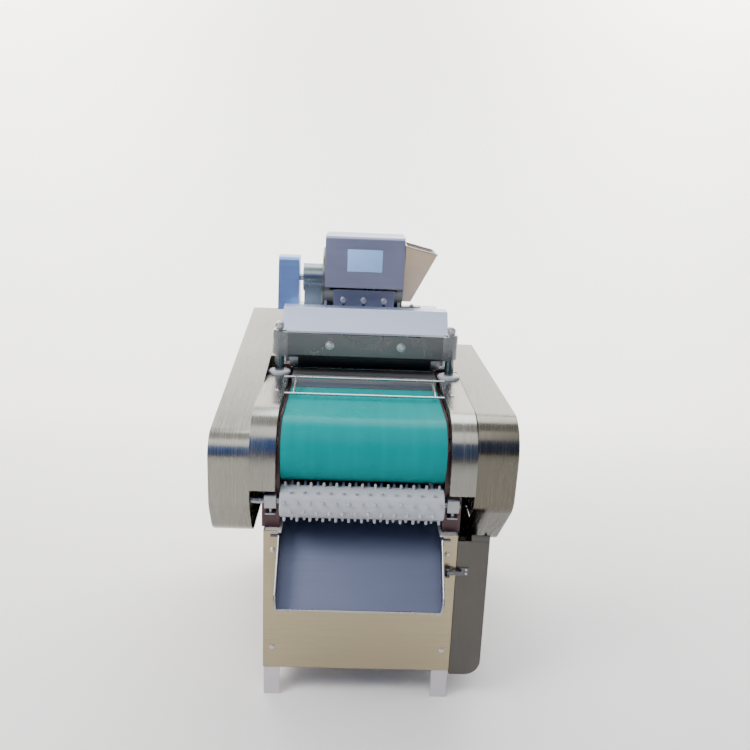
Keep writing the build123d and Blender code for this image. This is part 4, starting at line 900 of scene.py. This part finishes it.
class SHREDDER_OT_stage(bpy.types.Operator):
    """Pale floor, soft light and the camera at the photograph's angle"""
    bl_idname = "shredder.stage"
    bl_label = "Stage"

    def execute(self, context):
        self.floor()
        for light in LIGHTS:
            self.light(*light)
        self.surroundings(context)
        self.camera(context)
        return {"FINISHED"}

    @staticmethod
    def floor():
        """A pale floor that bends up into a wall behind the machine."""
        deselect()
        bpy.ops.mesh.primitive_plane_add(size=FLOOR_SIZE, location=(0, FLOOR_Y, 0))
        floor = bpy.context.object
        floor.name = "floor"
        bpy.ops.object.mode_set(mode="EDIT")
        bpy.ops.mesh.select_mode(type="EDGE")
        bpy.ops.mesh.select_all(action="DESELECT")
        mesh = bmesh.from_edit_mesh(floor.data)
        mesh.edges.ensure_lookup_table()
        for edge in mesh.edges:
            edge.select_set(all(corner.co.y > 0 for corner in edge.verts))
        bmesh.update_edit_mesh(floor.data)
        bpy.ops.mesh.extrude_region_move(TRANSFORM_OT_translate={"value": (0, 0, WALL_HEIGHT)})
        bpy.ops.object.mode_set(mode="OBJECT")
        soften(floor, WALL_BEND, 24)
        bpy.ops.object.shade_smooth()
        made = Maker("Pale floor")
        clouds = made.group("Handling marks", Size=1.2).outputs["Clouds"]
        made.link(blended(made.tree, clouds, *FLOOR_TONES), "Base Color")
        made.set(Roughness=0.8, Specular_IOR_Level=0.1)
        made.relief(clouds, strength=0.02, distance=0.001, edge=0.0008)
        floor.data.materials.append(made.material)

    @classmethod
    def surroundings(cls, context):
        """A world whose quarters have their own colours in reflections, and which the camera sees pale."""
        world = bpy.data.worlds.new("Studio")
        context.scene.world = world
        world.use_nodes = True
        tree = world.node_tree
        sky = tree.nodes["Background"]
        place = tree.nodes.new("ShaderNodeTexCoord")
        split = tree.nodes.new("ShaderNodeSeparateXYZ")
        tree.links.new(place.outputs["Generated"], split.inputs[0])
        x, y, height = split.outputs
        front_left, front_right, back_left, back_right = (
            cls.sky_band(tree, height, bands)
            for bands in (SKY_FRONT_LEFT, SKY_FRONT_RIGHT, SKY_BACK_LEFT, SKY_BACK_RIGHT))
        front = blended(tree, ranged(tree, x, (-0.08, 0.10), (0.0, 1.0)), front_left, front_right)
        back = blended(tree, ranged(tree, x, (-0.06, 0.10), (0.0, 1.0)), back_left, back_right)
        around = blended(tree, ranged(tree, y, (-0.25, 0.15), (0.0, 1.0)), front, back)
        seen = tree.nodes.new("ShaderNodeLightPath").outputs["Is Camera Ray"]
        tree.links.new(blended(tree, seen, around, CAMERA_SEES), sky.inputs["Color"])
        sky.inputs["Strength"].default_value = WORLD_STRENGTH

    @staticmethod
    def sky_band(tree, height, bands):
        """Colours of the surroundings from the horizon up, for one quarter."""
        ramp = tree.nodes.new("ShaderNodeValToRGB")
        stops = ramp.color_ramp.elements
        for stop, (level, colour) in ((stops[0], bands[0]), (stops[1], bands[-1])):
            stop.position, stop.color = level, (*colour, 1)
        for level, colour in bands[1:-1]:
            stops.new(level).color = (*colour, 1)
        tree.links.new(height, ramp.inputs["Fac"])
        return ramp.outputs["Color"]

    @staticmethod
    def light(name, at, aim, size, power, colour):
        """A square area light aimed at a point."""
        bpy.ops.object.light_add(type="AREA", location=at)
        lamp = bpy.context.object
        lamp.name = name
        lamp.rotation_euler = (Vector(aim) - Vector(at)).to_track_quat("-Z", "Y").to_euler()
        lamp.data.size = size
        lamp.data.energy = power
        lamp.data.color = colour

    @staticmethod
    def camera(context):
        """The camera at the photograph's place and angle."""
        bpy.ops.object.camera_add(location=CAMERA_PLACE)
        camera = bpy.context.object
        yaw, pitch, roll = (radians(angle) for angle in CAMERA_TURN)
        ahead = Vector((sin(yaw) * cos(pitch), cos(yaw) * cos(pitch), -sin(pitch)))
        right = Vector((cos(yaw), -sin(yaw), 0))
        down = ahead.cross(right)
        right, down = cos(roll) * right + sin(roll) * down, cos(roll) * down - sin(roll) * right
        camera.rotation_euler = Matrix((right, -down, -ahead)).transposed().to_euler()
        camera.data.lens = context.scene.shredder_sizes.lens
        camera.data.sensor_width = SENSOR_WIDTH
        camera.data.clip_end = 50
        context.scene.camera = camera


PIECES = (SHREDDER_OT_finishes, SHREDDER_OT_screws, SHREDDER_OT_head_fittings, SHREDDER_OT_latch_rivets,
          SHREDDER_OT_hems, SHREDDER_OT_drive_shields, SHREDDER_OT_roller_screws, SHREDDER_OT_chains,
          SHREDDER_OT_motor_fins, SHREDDER_OT_carriage_bolts, SHREDDER_OT_stage)


class SHREDDER_PT_pieces(bpy.types.Panel):
    """The machine's pieces, finishes and sizes"""
    bl_label = "Vegetable shredding machine"
    bl_space_type = "VIEW_3D"
    bl_region_type = "UI"
    bl_category = "Shredder"

    def draw(self, context):
        for group in (context.scene.shredder_finish, context.scene.shredder_sizes):
            for key in group.bl_rna.properties.keys():
                if key not in ("rna_type", "name"):
                    self.layout.prop(group, key)
        for piece in PIECES:
            self.layout.operator(piece.bl_idname)


CLASSES = (ShredderFinish, ShredderSizes, *PIECES, SHREDDER_PT_pieces)


def register():
    """Register the classes and put the settings on the scene."""
    for cls in CLASSES:
        bpy.utils.register_class(cls)
    bpy.types.Scene.shredder_finish = bpy.props.PointerProperty(type=ShredderFinish)
    bpy.types.Scene.shredder_sizes = bpy.props.PointerProperty(type=ShredderSizes)


def unregister():
    """Take the settings off the scene and unregister the classes."""
    del bpy.types.Scene.shredder_sizes
    del bpy.types.Scene.shredder_finish
    for cls in reversed(CLASSES):
        bpy.utils.unregister_class(cls)


def main():
    """Dress the whole machine."""
    register()
    for piece in PIECES:
        area, name = piece.bl_idname.split(".")
        getattr(getattr(bpy.ops, area), name)()


if __name__ == "__main__":
    main()
